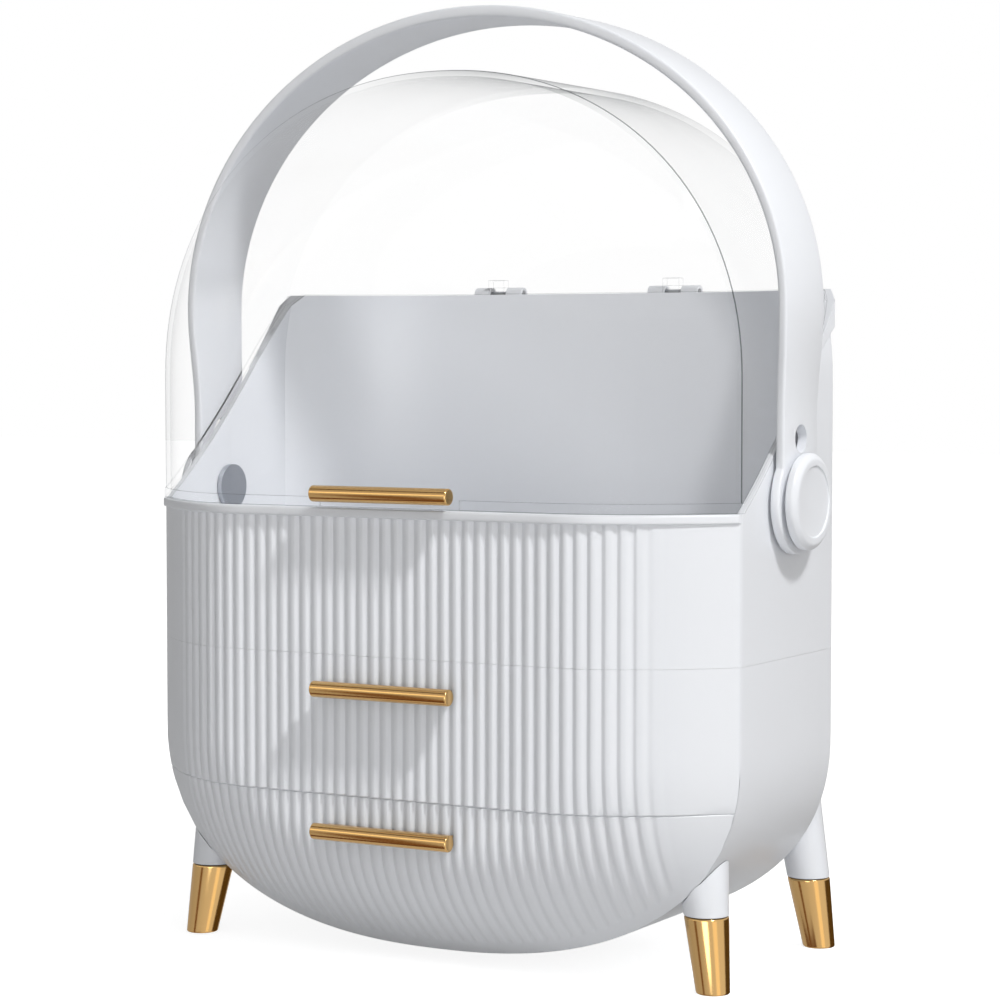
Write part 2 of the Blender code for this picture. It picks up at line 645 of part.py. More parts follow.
def leaning_round(name, leg, profile, sides=ROUND_SIDES):
    """A round, upright-ended piece along a leg's leaning axis, from (height, radius) pairs."""
    rings = []
    for z, radius in profile:
        middle = leg["foot"].lerp(leg["top"], z / leg["top"].z)
        angles = [2 * pi * i / sides for i in range(sides)]
        rings.append([(middle.x + radius * cos(a), middle.y + radius * sin(a), z) for a in angles])
    return loft(name, rings)


def make_leg(leg, parent):
    base_z = TIP_HEIGHT + GAP
    spigot = [(TIP_HEIGHT - SPIGOT_LENGTH + GAP, SPIGOT_RADIUS), (base_z, SPIGOT_RADIUS)]
    taper = [(base_z, TIP_TOP_RADIUS), (leg["top"].z, LEG_TOP_RADIUS)]
    body = leaning_round("leg", leg, spigot + taper)
    body = cut(body, egg(-GAP))
    body = cut(body, rod(leg["seat"], leg["into"], LEG_SCREW_DEPTH + CASE_WALL + 2 * GAP, SCREW_RADIUS + GAP))
    return finish(body, "leg_" + leg["name"], WHITE, parent)


def make_tip(leg, parent):
    profile = [(0, TIP_SOLE_RADIUS), (TIP_FOOT_ROUNDING, TIP_FOOT_RADIUS), (TIP_HEIGHT, TIP_TOP_RADIUS)]
    tip = leaning_round("tip", leg, profile)
    socket = leaning_round("socket", leg, [(TIP_HEIGHT - SPIGOT_LENGTH, SPIGOT_RADIUS + GAP),
                                           (TIP_HEIGHT + OVERRUN, SPIGOT_RADIUS + GAP)])
    return finish(cut(tip, socket), "leg_tip_" + leg["name"], GOLD, parent)


def screw(name, seat, into, depth, radius, head_radius, parent):
    """A pan-head screw whose head lies behind its seat."""
    profile = [(-SCREW_HEAD_HEIGHT, head_radius), (0, head_radius), (0, radius), (depth, radius)]
    return finish(turned(name, profile, seat, into, SMALL_SIDES), name, STEEL, parent)


# Drawers and their pulls

def make_tray(name, inset, base_z, height, parent):
    top_z = base_z + height
    tray = keep(egg(inset), slab((GAP - SIDE_HALF_DEPTH, TRAY_BACK_Y), (base_z, top_z)))
    inside = keep(egg(inset + TRAY_WALL), slab((-FAR, TRAY_BACK_Y - TRAY_WALL), (base_z + TRAY_WALL, FAR)))
    return finish(cut(tray, inside), name, WHITE, parent)


def hollow_front(front, floor_z, flange_floor_z, flange_width):
    """Hollows a drawer's front and leaves a flange round its back edge for the tray."""
    flange_y = -SIDE_HALF_DEPTH - FLANGE_THICKNESS
    front = cut(front, keep(egg(CASE_WALL), slab((-FAR, flange_y), (floor_z, FAR))))
    return cut(front, keep(egg(flange_width), slab((flange_y - OVERRUN, FAR), (flange_floor_z, FAR))))


def drill_pull_holes(front, z):
    for side in (-1, 1):
        front = cut(front, rod((side * PULL_SCREW_X, FRONT_Y - OVERRUN, z), (0, 1, 0),
                               CASE_WALL + 2 * OVERRUN, SCREW_RADIUS + GAP))
    return front


def make_upper_front(parent):
    base_z = LOWER_SEAM_Z + GAP / 2
    top_z = UPPER_SEAM_Z - GAP / 2
    reach = half_width_at(base_z)

    def rows_of(x):
        foot = base_z if abs(x) <= reach else belly_z(x)
        step = (BELLY_CENTRE_Z - foot) / UPPER_FRONT_ROWS
        return [(foot + step * i, 0, 1) for i in range(UPPER_FRONT_ROWS + 1)] + [(top_z, 0, 1)]

    columns = flute_columns(BODY_HALF_WIDTH - GAP)
    columns = columns[:1] + [(-reach, 0)] + columns[2:-2] + [(reach, 0)] + columns[-1:]
    front = fluted_front(columns, rows_of)
    front = hollow_front(front, base_z + CASE_WALL, base_z + CASE_WALL, UPPER_FLANGE_WIDTH)
    return finish(drill_pull_holes(front, UPPER_PULL_Z), "upper_drawer_front", WHITE, parent)


def half_width_at(z):
    """Half the body's width at a height of the belly."""
    down = (BELLY_CENTRE_Z - z) / BELLY_HALF_HEIGHT
    return BODY_HALF_WIDTH * (1 - down ** BELLY_EXPONENT) ** (1 / BELLY_EXPONENT)


def make_lower_front(parent):
    top_z = LOWER_SEAM_Z - GAP / 2
    reach = half_width_at(top_z) - GAP

    def rows_of(x):
        foot = belly_z(x)
        room = top_z - foot
        margin = min(FLUTE_END_MARGIN, FLUTE_ROOM_SHARE * room)
        run_out = min(FLUTE_RUN_OUT, FLUTE_ROOM_SHARE * room)
        rows = [(foot, 0, 0), (foot + margin, 0, 0), (foot + margin + run_out, 0, 1)]
        start = foot + margin + run_out
        return rows + [(start + (top_z - start) * (i / LOWER_FRONT_ROWS) ** LOWER_ROW_CROWDING, 0, 1)
                       for i in range(1, LOWER_FRONT_ROWS + 1)]

    front = fluted_front(flute_columns(reach), rows_of, BULGE - LOWER_FRONT_SET_BACK)
    front = hollow_front(front, 0, LOWER_TRAY_BASE_Z + TRAY_WALL, LOWER_FLANGE_WIDTH)
    return finish(drill_pull_holes(front, LOWER_PULL_Z), "lower_drawer_front", WHITE, parent)


def make_pull(name, z, face_y, parent):
    """A round bar on a web that stands off the front, whose face is at face_y."""
    half = PULL_LENGTH / 2
    profile = [(0, PULL_RADIUS - PULL_END_CHAMFER), (PULL_END_CHAMFER, PULL_RADIUS),
               (PULL_LENGTH - PULL_END_CHAMFER, PULL_RADIUS), (PULL_LENGTH, PULL_RADIUS - PULL_END_CHAMFER)]
    bar = turned(name, profile, (-half, PULL_Y, z), (1, 0, 0), ROUND_SIDES)
    web = block((PULL_WEB_INSET - half, PULL_Y, z - PULL_WEB_HEIGHT / 2),
                (half - PULL_WEB_INSET, face_y - GAP, z + PULL_WEB_HEIGHT / 2))
    bar = join(bar, web)
    for side in (-1, 1):
        bore_length = PULL_SCREW_DEPTH + GAP + face_y - FRONT_Y
        bar = cut(bar, rod((side * PULL_SCREW_X, face_y, z), (0, -1, 0), bore_length, SCREW_RADIUS + GAP))
    return finish(bar, name, GOLD, parent)


def pull_screws(name, z, wall, parent):
    for side in (-1, 1):
        seat = (side * PULL_SCREW_X, FRONT_Y + wall + GAP, z)
        screw(name + "_screw_" + side_word(side), seat, (0, -1, 0), wall + PULL_SCREW_DEPTH,
              SCREW_RADIUS, SCREW_HEAD_RADIUS, parent)


# Hood

def make_hood(parent):
    over_rim = prism(rim_line(GAP / 2) + [(FAR, 2 * FAR), (-FAR, 2 * FAR)])
    hood = cut(keep(egg(), over_rim), egg(HOOD_WALL))
    for side in (-1, 1):
        x = side * HINGE_X
        web = hinge_web(x - HOOD_BARREL_HALF, x + HOOD_BARREL_HALF, RIM_REAR_Z + GAP / 2,
                        RIM_REAR_Z + HINGE_WEB_HEIGHT)
        barrel = rod((x - HOOD_BARREL_HALF, HINGE_Y, RIM_REAR_Z), (1, 0, 0), 2 * HOOD_BARREL_HALF,
                     BARREL_RADIUS, ROUND_SIDES)
        hood = join(hood, join(barrel, web))
        hood = cut(hood, rod((x - HINGE_X / 2, HINGE_Y, RIM_REAR_Z), (1, 0, 0), HINGE_X,
                             HINGE_PIN_RADIUS + GAP))
    return finish(drill_pull_holes(hood, HOOD_PULL_Z), "lid_hood", CLEAR, parent, (0, HINGE_Y, RIM_REAR_Z))


def make_hinge_pin(side, parent):
    half = HOOD_BARREL_HALF + GAP + CASE_BARREL_LENGTH
    pin = rod((side * HINGE_X - half, HINGE_Y, RIM_REAR_Z), (1, 0, 0), 2 * half, HINGE_PIN_RADIUS)
    return finish(pin, "hinge_pin_" + side_word(side), STEEL, parent)


# Carry handle

def handle_stations():
    """Outer edge, inner edge and half band width along the handle, from foot to foot."""
    foot_inner = BODY_HALF_WIDTH + HANDLE_WALL_GAP
    foot_outer = foot_inner + HANDLE_THICKNESS_SIDE
    inner_half = HANDLE_HALF_WIDTH - HANDLE_THICKNESS_SIDE
    rise = HANDLE_TOP_Z - HANDLE_CENTRE_Z
    left = [((-foot_outer, z), (-foot_inner, z), HANDLE_ARM_BAND_HALF)
            for z in (PIVOT_Z, HANDLE_CENTRE_Z - HANDLE_LEAN_LENGTH)]
    arch = []
    for i in range(HANDLE_STEPS + 1):
        angle = pi - pi * i / HANDLE_STEPS
        outer = (HANDLE_HALF_WIDTH * cos(angle), HANDLE_CENTRE_Z + rise * sin(angle))
        inner = (inner_half * cos(angle), HANDLE_CENTRE_Z + (rise - HANDLE_THICKNESS_TOP) * sin(angle))
        arch.append((outer, inner, HANDLE_BAND_HALF))
    right = [((-o[0], o[1]), (-i[0], i[1]), w) for o, i, w in reversed(left)]
    return left + arch + right


def make_handle(parent):
    rings = []
    for (ox, oz), (ix, iz), half in handle_stations():
        thick = hypot(ox - ix, oz - iz)
        share = HANDLE_CHAMFER / thick
        near = (ox + share * (ix - ox), oz + share * (iz - oz))
        deep = (ix + share * (ox - ix), iz + share * (oz - iz))
        flat = half - HANDLE_CHAMFER
        rings.append([(ox, -flat, oz), (near[0], -half, near[1]), (deep[0], -half, deep[1]), (ix, -flat, iz),
                      (ix, flat, iz), (deep[0], half, deep[1]), (near[0], half, near[1]), (ox, flat, oz)])
    handle = loft("handle", rings)
    inner = BODY_HALF_WIDTH + HANDLE_WALL_GAP
    profile = [(0, HANDLE_EYE_RADIUS - HANDLE_CHAMFER), (HANDLE_CHAMFER, HANDLE_EYE_RADIUS),
               (HANDLE_THICKNESS_SIDE - HANDLE_CHAMFER, HANDLE_EYE_RADIUS),
               (HANDLE_THICKNESS_SIDE, HANDLE_EYE_RADIUS - HANDLE_CHAMFER)]
    for side in (-1, 1):
        start = (side * inner, 0, PIVOT_Z)
        through = (side * (inner - OVERRUN), 0, PIVOT_Z)
        hole = (side * (inner - OVERRUN), 0, PIVOT_Z + HANDLE_HOLE_RISE)
        length = HANDLE_THICKNESS_SIDE + 2 * OVERRUN
        handle = join(handle, turned("eye", profile, start, (side, 0, 0), 2 * ROUND_SIDES))
        handle = cut(handle, rod(through, (side, 0, 0), length, STUD_RADIUS + GAP, ROUND_SIDES))
        handle = cut(handle, rod(hole, (side, 0, 0), length, HANDLE_HOLE_RADIUS, ROUND_SIDES))
    return finish(handle, "carry_handle", WHITE, parent, (0, 0, PIVOT_Z))


def main():
    clear_scene()
    base = axis_empty("organizer", (0, 0, 0))
    hood_axis = axis_empty("hood_axis", (0, HINGE_Y, RIM_REAR_Z), base)
    handle_axis = axis_empty("handle_axis", (0, 0, PIVOT_Z), base)
    upper_slide = axis_empty("upper_drawer_slide", (0, 0, LOWER_SEAM_Z), base)
    lower_slide = axis_empty("lower_drawer_slide", (0, 0, LOWER_TRAY_BASE_Z), base)

    make_drawer_case(base)
    make_drawer_shelf(base)
    make_bin_case(base)
    make_bin_front(base)
    for side in (-1, 1):
        make_stud(side, base)
        make_cap(side, base)
        make_hinge_pin(side, base)
        seat = (side * CASE_SCREW_X, CASE_SCREW_Y, UPPER_SEAM_Z + GAP / 2 + CASE_WALL + GAP)
        screw("case_screw_" + side_word(side), seat, (0, 0, -1), CASE_SCREW_DEPTH, CASE_SCREW_RADIUS,
              CASE_SCREW_HEAD_RADIUS, base)
    for leg in legs():
        make_leg(leg, base)
        make_tip(leg, base)
        screw("leg_screw_" + leg["name"], leg["seat"], leg["into"], LEG_SCREW_DEPTH + CASE_WALL, SCREW_RADIUS,
              SCREW_HEAD_RADIUS, base)

    make_handle(handle_axis)
    make_hood(hood_axis)
    make_pull("lid_pull", HOOD_PULL_Z, FRONT_Y, hood_axis)
    pull_screws("lid_pull", HOOD_PULL_Z, HOOD_WALL, hood_axis)

    make_upper_front(upper_slide)
    make_tray("upper_drawer_tray", CASE_WALL + SLIDE_GAP, LOWER_SEAM_Z + GAP / 2, UPPER_TRAY_HEIGHT,
              upper_slide)
    make_pull("upper_drawer_pull", UPPER_PULL_Z, FRONT_Y, upper_slide)
    pull_screws("upper_drawer_pull", UPPER_PULL_Z, CASE_WALL, upper_slide)

    make_lower_front(lower_slide)
    make_tray("lower_drawer_tray", LOWER_TRAY_INSET, LOWER_TRAY_BASE_Z, LOWER_TRAY_HEIGHT, lower_slide)
    make_pull("lower_drawer_pull", LOWER_PULL_Z, FRONT_Y + LOWER_FRONT_SET_BACK, lower_slide)
    pull_screws("lower_drawer_pull", LOWER_PULL_Z, CASE_WALL, lower_slide)


main()
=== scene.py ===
from math import cos, hypot, pi, radians, sin

import bmesh
import bpy
from mathutils import Matrix, Vector


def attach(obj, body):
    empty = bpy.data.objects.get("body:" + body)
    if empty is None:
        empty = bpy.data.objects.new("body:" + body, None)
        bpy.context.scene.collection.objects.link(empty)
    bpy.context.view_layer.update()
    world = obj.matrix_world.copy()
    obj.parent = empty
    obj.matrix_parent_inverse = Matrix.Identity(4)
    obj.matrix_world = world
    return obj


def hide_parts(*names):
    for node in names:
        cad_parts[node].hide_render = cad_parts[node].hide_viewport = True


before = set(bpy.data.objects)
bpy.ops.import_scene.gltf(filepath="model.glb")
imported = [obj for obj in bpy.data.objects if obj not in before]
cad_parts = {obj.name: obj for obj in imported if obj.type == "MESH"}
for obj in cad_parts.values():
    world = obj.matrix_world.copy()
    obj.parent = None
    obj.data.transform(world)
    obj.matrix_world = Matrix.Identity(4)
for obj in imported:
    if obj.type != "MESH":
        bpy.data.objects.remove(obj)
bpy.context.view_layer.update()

# %% [markdown]
# # A dustproof makeup organizer
# The organizer is an upright white egg on four splayed legs. Its belly holds two drawers, its waist is an
# open bin, and its top is a clear hood that swings back on two small hinges. A flat carry handle arches over
# the hood and turns on two round caps. The frame loaded above is the plain model of every piece. This script
# makes the fine surfaces in the same place, piece by piece, and gives each the finish of its real material.

# %% [markdown]
# ## Helpers for closed shapes
# Each moulded piece is a closed shell of even wall. Such a shell could be pulled out of a cube by hand, but
# two pieces that meet would then only nearly fit. Here every point is computed from named sizes: a loft joins
# rings of points, and exact Booleans cut one loft with another, as a mould maker cuts one shape out of
# another.

# %% Mesh helpers
MM = 0.001
# The usual clearance between two moulded pieces
GAP = 0.3 * MM
# Points closer than this lie in the same place
TOUCH = GAP / 10
# A distance past every side of the object
FAR = 800 * MM


def new_object(name, points, faces):
    """A closed mesh object with outward faces, still in the body's own middle."""
    mesh = bpy.data.meshes.new(name)
    mesh.from_pydata([tuple(p) for p in points], [], faces)
    shape = bmesh.new()
    shape.from_mesh(mesh)
    bmesh.ops.recalc_face_normals(shape, faces=shape.faces)
    shape.to_mesh(mesh)
    shape.free()
    made = bpy.data.objects.new(name, mesh)
    bpy.context.collection.objects.link(made)
    return made


def applied(piece):
    """Makes what the modifiers show into the piece's own plain mesh."""
    bpy.context.view_layer.update()
    shown = piece.evaluated_get(bpy.context.evaluated_depsgraph_get())
    mesh = bpy.data.meshes.new_from_object(shown)
    piece.modifiers.clear()
    piece.data = mesh
    return piece


def boolean(piece, tool, operation):
    step = piece.modifiers.new("shape", "BOOLEAN")
    step.operation = operation
    step.solver = "EXACT"
    step.object = tool
    applied(piece)
    bpy.data.objects.remove(tool, do_unlink=True)
    return piece


def cut(piece, tool):
    return boolean(piece, tool, "DIFFERENCE")


def keep(piece, tool):
    return boolean(piece, tool, "INTERSECT")


def join(piece, tool):
    return boolean(piece, tool, "UNION")


def loft(name, rings):
    """Closed rings of equal count joined in a row, with a flat face on each end."""
    count = len(rings[0])
    points = [p for ring in rings for p in ring]
    faces = [tuple(range(count)), tuple(range(len(points) - count, len(points)))]
    for r in range(len(rings) - 1):
        for i in range(count):
            j = (i + 1) % count
            faces.append((r * count + i, r * count + j, (r + 1) * count + j, (r + 1) * count + i))
    return new_object(name, points, faces)


def slab(y_range=(-FAR, FAR), z_range=(-FAR, FAR), x_range=(-FAR, FAR), name="slab"):
    """A square-edged block between two places on each axis."""
    corners = ((0, 0), (1, 0), (1, 1), (0, 1))
    return loft(name, [[(x_range[i], y_range[j], z) for i, j in corners] for z in z_range])


def prism(profile):
    """An outline in Y and Z drawn out along X past both sides."""
    return loft("prism", [[(x, y, z) for y, z in profile] for x in (-FAR, FAR)])


# %% Round helpers
ROUND_SIDES = 64
SMALL_ROUND_SIDES = 24
BEND_STEPS = 5


def turned(name, profile, start, direction, sides=ROUND_SIDES):
    """A round piece from (distance, radius) pairs along an axis."""
    turn = Vector((0, 0, 1)).rotation_difference(Vector(direction)).to_matrix()
    angles = [2 * pi * (i + 0.5) / sides for i in range(sides)]
    rings = [[Vector(start) + turn @ Vector((radius * cos(angle), radius * sin(angle), distance))
              for angle in angles] for distance, radius in profile]
    return loft(name, rings)


def bend(start, corner, end, way):
    """A point part of the way along a soft bend from start to end, drawn towards the corner."""
    return tuple(start * (1 - way) ** 2 + corner * (2 * way * (1 - way)) + end * way ** 2)


def rounded(corners, radius):
    """A (distance, radius) profile with each inner corner replaced by a small bend."""
    made = [corners[0]]
    for before, corner, after in zip(corners, corners[1:], corners[2:]):
        here = Vector(corner)
        to_before, to_after = Vector(before) - here, Vector(after) - here
        reach = min(radius, to_before.length / 2, to_after.length / 2)
        start, end = here + to_before.normalized() * reach, here + to_after.normalized() * reach
        made += [bend(start, here, end, i / BEND_STEPS) for i in range(BEND_STEPS + 1)]
    return made + [corners[-1]]


# %% [markdown]
# ## The egg
# Seen from the front, the body is an egg: a broad belly below and a taller dome above, each half of a
# superellipse, which is an ellipse with fuller shoulders. Seen from above, its front and back swell out from
# flat side walls. A ball could be pulled into this shape, but the seams would then sit where the pulling left
# them. As a formula, the egg gives each seam and rim its exact place, and every piece is cut from the same
# egg.

# %% The egg
BODY_HALF_WIDTH = 140 * MM
SIDE_HALF_DEPTH = 45 * MM
BULGE = 37.75 * MM
FLAT_HALF_WIDTH = 73.5 * MM
SLOPE_WIDTH = BODY_HALF_WIDTH - FLAT_HALF_WIDTH
BELLY_CENTRE_Z = 97 * MM
BELLY_HALF_HEIGHT = 91 * MM
BELLY_FLAT_HALF_HEIGHT = 40 * MM
BELLY_EXPONENT = 2.35
DOME_CENTRE_Z = 245.6 * MM
DOME_HALF_HEIGHT = 127.7 * MM
DOME_FLAT_HALF_HEIGHT = 50 * MM
DOME_EXPONENT = 2.12
ARC_STEPS = 72
BULGE_STEPS = 16
CREASE_STEPS = 5


def superellipse(angle, half_width, half_height, exponent):
    power = 2 / exponent
    x = half_width * abs(cos(angle)) ** power * (1 if cos(angle) >= 0 else -1)
    z = half_height * abs(sin(angle)) ** power * (1 if sin(angle) >= 0 else -1)
    return x, z


def egg_ring(share, y, inset):
    """The egg's outline at one depth; share 0 is the flat middle and share 1 the side wall."""
    ring = []
    for low in (True, False):
        half_height = (BELLY_HALF_HEIGHT if low else DOME_HALF_HEIGHT) - inset
        flat_height = BELLY_FLAT_HALF_HEIGHT if low else DOME_FLAT_HALF_HEIGHT
        exponent = BELLY_EXPONENT if low else DOME_EXPONENT
        centre = BELLY_CENTRE_Z if low else DOME_CENTRE_Z
        for i in range(ARC_STEPS + 1):
            angle = (pi if low else 0) + pi * i / ARC_STEPS
            flat = superellipse(angle, FLAT_HALF_WIDTH, flat_height, exponent)
            edge = superellipse(angle, BODY_HALF_WIDTH - inset, half_height, exponent)
            x, z = (f + share * (e - f) for f, e in zip(flat, edge))
            ring.append((x, y, centre + z))
    return ring


def egg(inset=0, crease_round=0):
    """The whole closed egg, drawn in by an inset all round; its crease at the side walls can be rounded."""
    last = 1 - crease_round / SLOPE_WIDTH
    shares = [last * i / BULGE_STEPS for i in range(BULGE_STEPS + 1)]
    profile = [(share, SIDE_HALF_DEPTH + (BULGE - inset) * (1 - share ** 2)) for share in shares]
    if crease_round:
        start, corner = Vector(profile[-1]), Vector((1, SIDE_HALF_DEPTH))
        end = Vector((1, SIDE_HALF_DEPTH - crease_round))
        profile += [bend(start, corner, end, i / CREASE_STEPS) for i in range(1, CREASE_STEPS + 1)]
    rings = [egg_ring(share, -y, inset) for share, y in profile]
    rings += [egg_ring(share, y, inset) for share, y in reversed(profile)]
    return loft("egg", rings)


print("egg from", round((BELLY_CENTRE_Z - BELLY_HALF_HEIGHT) / MM, 1), "to",
      round((DOME_CENTRE_Z + DOME_HALF_HEIGHT) / MM, 1), "mm above the floor")


# %% Places on the belly
def belly_measure(across, down):
    return (abs(across) ** BELLY_EXPONENT + abs(down) ** BELLY_EXPONENT) ** (1 / BELLY_EXPONENT)


def front_share(x, z):
    """The share of the front's slope at a place seen from the front."""
    drop = BELLY_CENTRE_Z - z
    if drop <= 0:
        return max(0, (abs(x) - FLAT_HALF_WIDTH) / SLOPE_WIDTH)
    flat = belly_measure(x / FLAT_HALF_WIDTH, drop / BELLY_FLAT_HALF_HEIGHT)
    edge = belly_measure(x / BODY_HALF_WIDTH, drop / BELLY_HALF_HEIGHT)
    return 0 if flat <= 1 else min(1, (1 - 1 / flat) / (1 / edge - 1 / flat))


def belly_z(x):
    """Height of the belly's outline under a place across the body."""
    across = min(1, abs(x) / BODY_HALF_WIDTH)
    return BELLY_CENTRE_Z - BELLY_HALF_HEIGHT * (1 - across ** BELLY_EXPONENT) ** (1 / BELLY_EXPONENT)


def half_width_at(z):
    """Half the width of the belly's outline at a height."""
    down = (BELLY_CENTRE_Z - z) / BELLY_HALF_HEIGHT
    return BODY_HALF_WIDTH * (1 - down ** BELLY_EXPONENT) ** (1 / BELLY_EXPONENT)


# %% [markdown]
# ## The rim
# The hood meets the bin along one line: level in front, climbing along each side wall in a slightly hollow
# curve, and level again behind. Hood and bin could each have their own edge drawn, but one function gives the
# height at every depth, and both are cut with it, so they meet all the way round.

# %% The rim
RIM_FRONT_Z = 193 * MM
RIM_REAR_Z = 283.5 * MM
RIM_STRAIGHT_SHARE = 0.72
RIM_SLANT_FRONT_Y = -44 * MM
RIM_SLANT_REAR_Y = 49 * MM
RIM_STEPS = 30


def rim_z(y):
    """Height of the rim at a depth: level in front and behind, with a slightly hollow slope between."""
    way = max(0, min(1, (y - RIM_SLANT_FRONT_Y) / (RIM_SLANT_REAR_Y - RIM_SLANT_FRONT_Y)))
    rise = RIM_REAR_Z - RIM_FRONT_Z
    return RIM_FRONT_Z + rise * (RIM_STRAIGHT_SHARE * way + (1 - RIM_STRAIGHT_SHARE) * way ** 2)


def rim_line(rise=0, start=-FAR):
    """The line in Y and Z where the hood meets the bin, from a place in Y to the back."""
    step = (RIM_SLANT_REAR_Y - RIM_SLANT_FRONT_Y) / RIM_STEPS
    bends = [RIM_SLANT_FRONT_Y + step * i for i in range(RIM_STEPS + 1)]
    return [(y, rim_z(y) + rise) for y in [start] + [bend_y for bend_y in bends if bend_y > start] + [FAR]]


print("rim over the pivots at", round(rim_z(0) / MM, 1), "mm")

# %% [markdown]
# ## Finishes
# The white pieces are injection-moulded ABS with a satin face: light and slightly cool, with soft broad
# highlights. The hood is polished clear styrene. The pulls and leg tips are bright gold plate, and the
# screws, studs and hinge pins are zinc-plated steel. Such finishes could be painted as pictures, but a
# principled shader with each material's own values looks right in any light and from any side. Every grain
# is sized in real millimetres.

# %% Finish helpers
EDGE_SAMPLES = 4
GRAIN_DETAIL = 2


def srgb(code):
    """Linear colour from an sRGB hex code."""
    parts = [int(code[i:i + 2], 16) / 255 for i in (1, 3, 5)]
    return tuple(p / 12.92 if p <= 0.04045 else ((p + 0.055) / 1.055) ** 2.4 for p in parts) + (1,)


def add(tree, kind, inputs=None, **settings):
    """Adds a node with its settings, and values or links on its inputs."""
    made = tree.nodes.new(kind)
    for key, value in settings.items():
        setattr(made, key, value)
    for key, value in (inputs or {}).items():
        if isinstance(value, bpy.types.NodeSocket):
            tree.links.new(value, made.inputs[key])
        else:
            made.inputs[key].default_value = value
    return made


def finish_of(name, colour, roughness, grain_mm, grain_height_mm, edge_round_mm=0, **settings):
    """A principled finish with a fine surface grain of real size and softly broken edges."""
    made = bpy.data.materials.new(name)
    made.use_nodes = True
    tree = made.node_tree
    shader = tree.nodes["Principled BSDF"]
    shader.inputs["Base Color"].default_value = srgb(colour)
    shader.inputs["Roughness"].default_value = roughness
    for key, value in settings.items():
        shader.inputs[key.replace("_", " ")].default_value = value
    place = add(tree, "ShaderNodeTexCoord").outputs["Object"]
    grain = add(tree, "ShaderNodeTexNoise", {"Vector": place, "Scale": 1 / (grain_mm * MM),
                                             "Detail": GRAIN_DETAIL})
    bump = add(tree, "ShaderNodeBump", {"Height": grain.outputs["Fac"], "Distance": grain_height_mm * MM,
                                        "Strength": 1})
    if edge_round_mm:
        edges = add(tree, "ShaderNodeBevel", {"Radius": edge_round_mm * MM}, samples=EDGE_SAMPLES)
        tree.links.new(edges.outputs["Normal"], bump.inputs["Normal"])
    tree.links.new(bump.outputs["Normal"], shader.inputs["Normal"])
    return made


# %% Finishes
# Satin white moulding: the eye sees an even, cool white with a soft sheen and no visible grain
WHITE = finish_of("satin_moulded_white_abs", "#EBEDF1", roughness=0.36, grain_mm=1.2, grain_height_mm=0.003,
                  edge_round_mm=0.35, IOR=1.53)
# The same resin against a matt mould, for the trays and the shelf: duller, without highlights
MATT = finish_of("matt_moulded_white_abs", "#E9EAEC", roughness=0.55, grain_mm=0.6, grain_height_mm=0.006,
                 edge_round_mm=0.3, IOR=1.53)
# Bright gold plating: warm and shiny, with streaks of light and brown along the round bars
GOLD = finish_of("bright_gold_plating", "#E2B87A", roughness=0.17, grain_mm=2.0, grain_height_mm=0.001,
                 edge_round_mm=0.2, Metallic=1.0)
# Zinc-plated steel of screws and pins: pale blue grey, a little dull
STEEL = finish_of("zinc_plated_turned_steel", "#B9BCC2", roughness=0.34, grain_mm=0.5, grain_height_mm=0.002,
                  Metallic=1.0)
# Polished clear styrene: the eye sees it only by its edges and a few reflections
CLEAR = finish_of("polished_clear_polystyrene", "#FCFDFD", roughness=0.03, grain_mm=30, grain_height_mm=0.002,
                  edge_round_mm=0.35, IOR=1.5, Transmission_Weight=1.0)

# %% [markdown]
# ## The clear wall
# A real wall of clear styrene is thin, so nearly all light goes straight through it. Only its edges, and
# the places that are seen at a low angle, show as fine grey lines. Full glass would darken all that stands
# behind such a wall. So most of the light passes unbent here, and the edges get painted grey shade in
# place of the dark lines that bent light gives: where the surface turns within a third of a millimetre,
# along the marked crease, and a little where it turns away.

# %% Clear wall
GRAZING_POWER = 10.0
EDGE_REACH = 0.35 * MM
EDGE_GAIN = -5.0
EDGE_START = 4.5
SOFT_EDGE_SHARE = 0.60
OPEN_TINT = "#FFFFFF"
# Grey of the painted shade on the clear wall's edges, crease line and grazing parts
EDGE_PAINTED_SHADE = "#84888A"
BODY_AT_GRAZING = 0.15
BODY_FACE_ON = 0.02


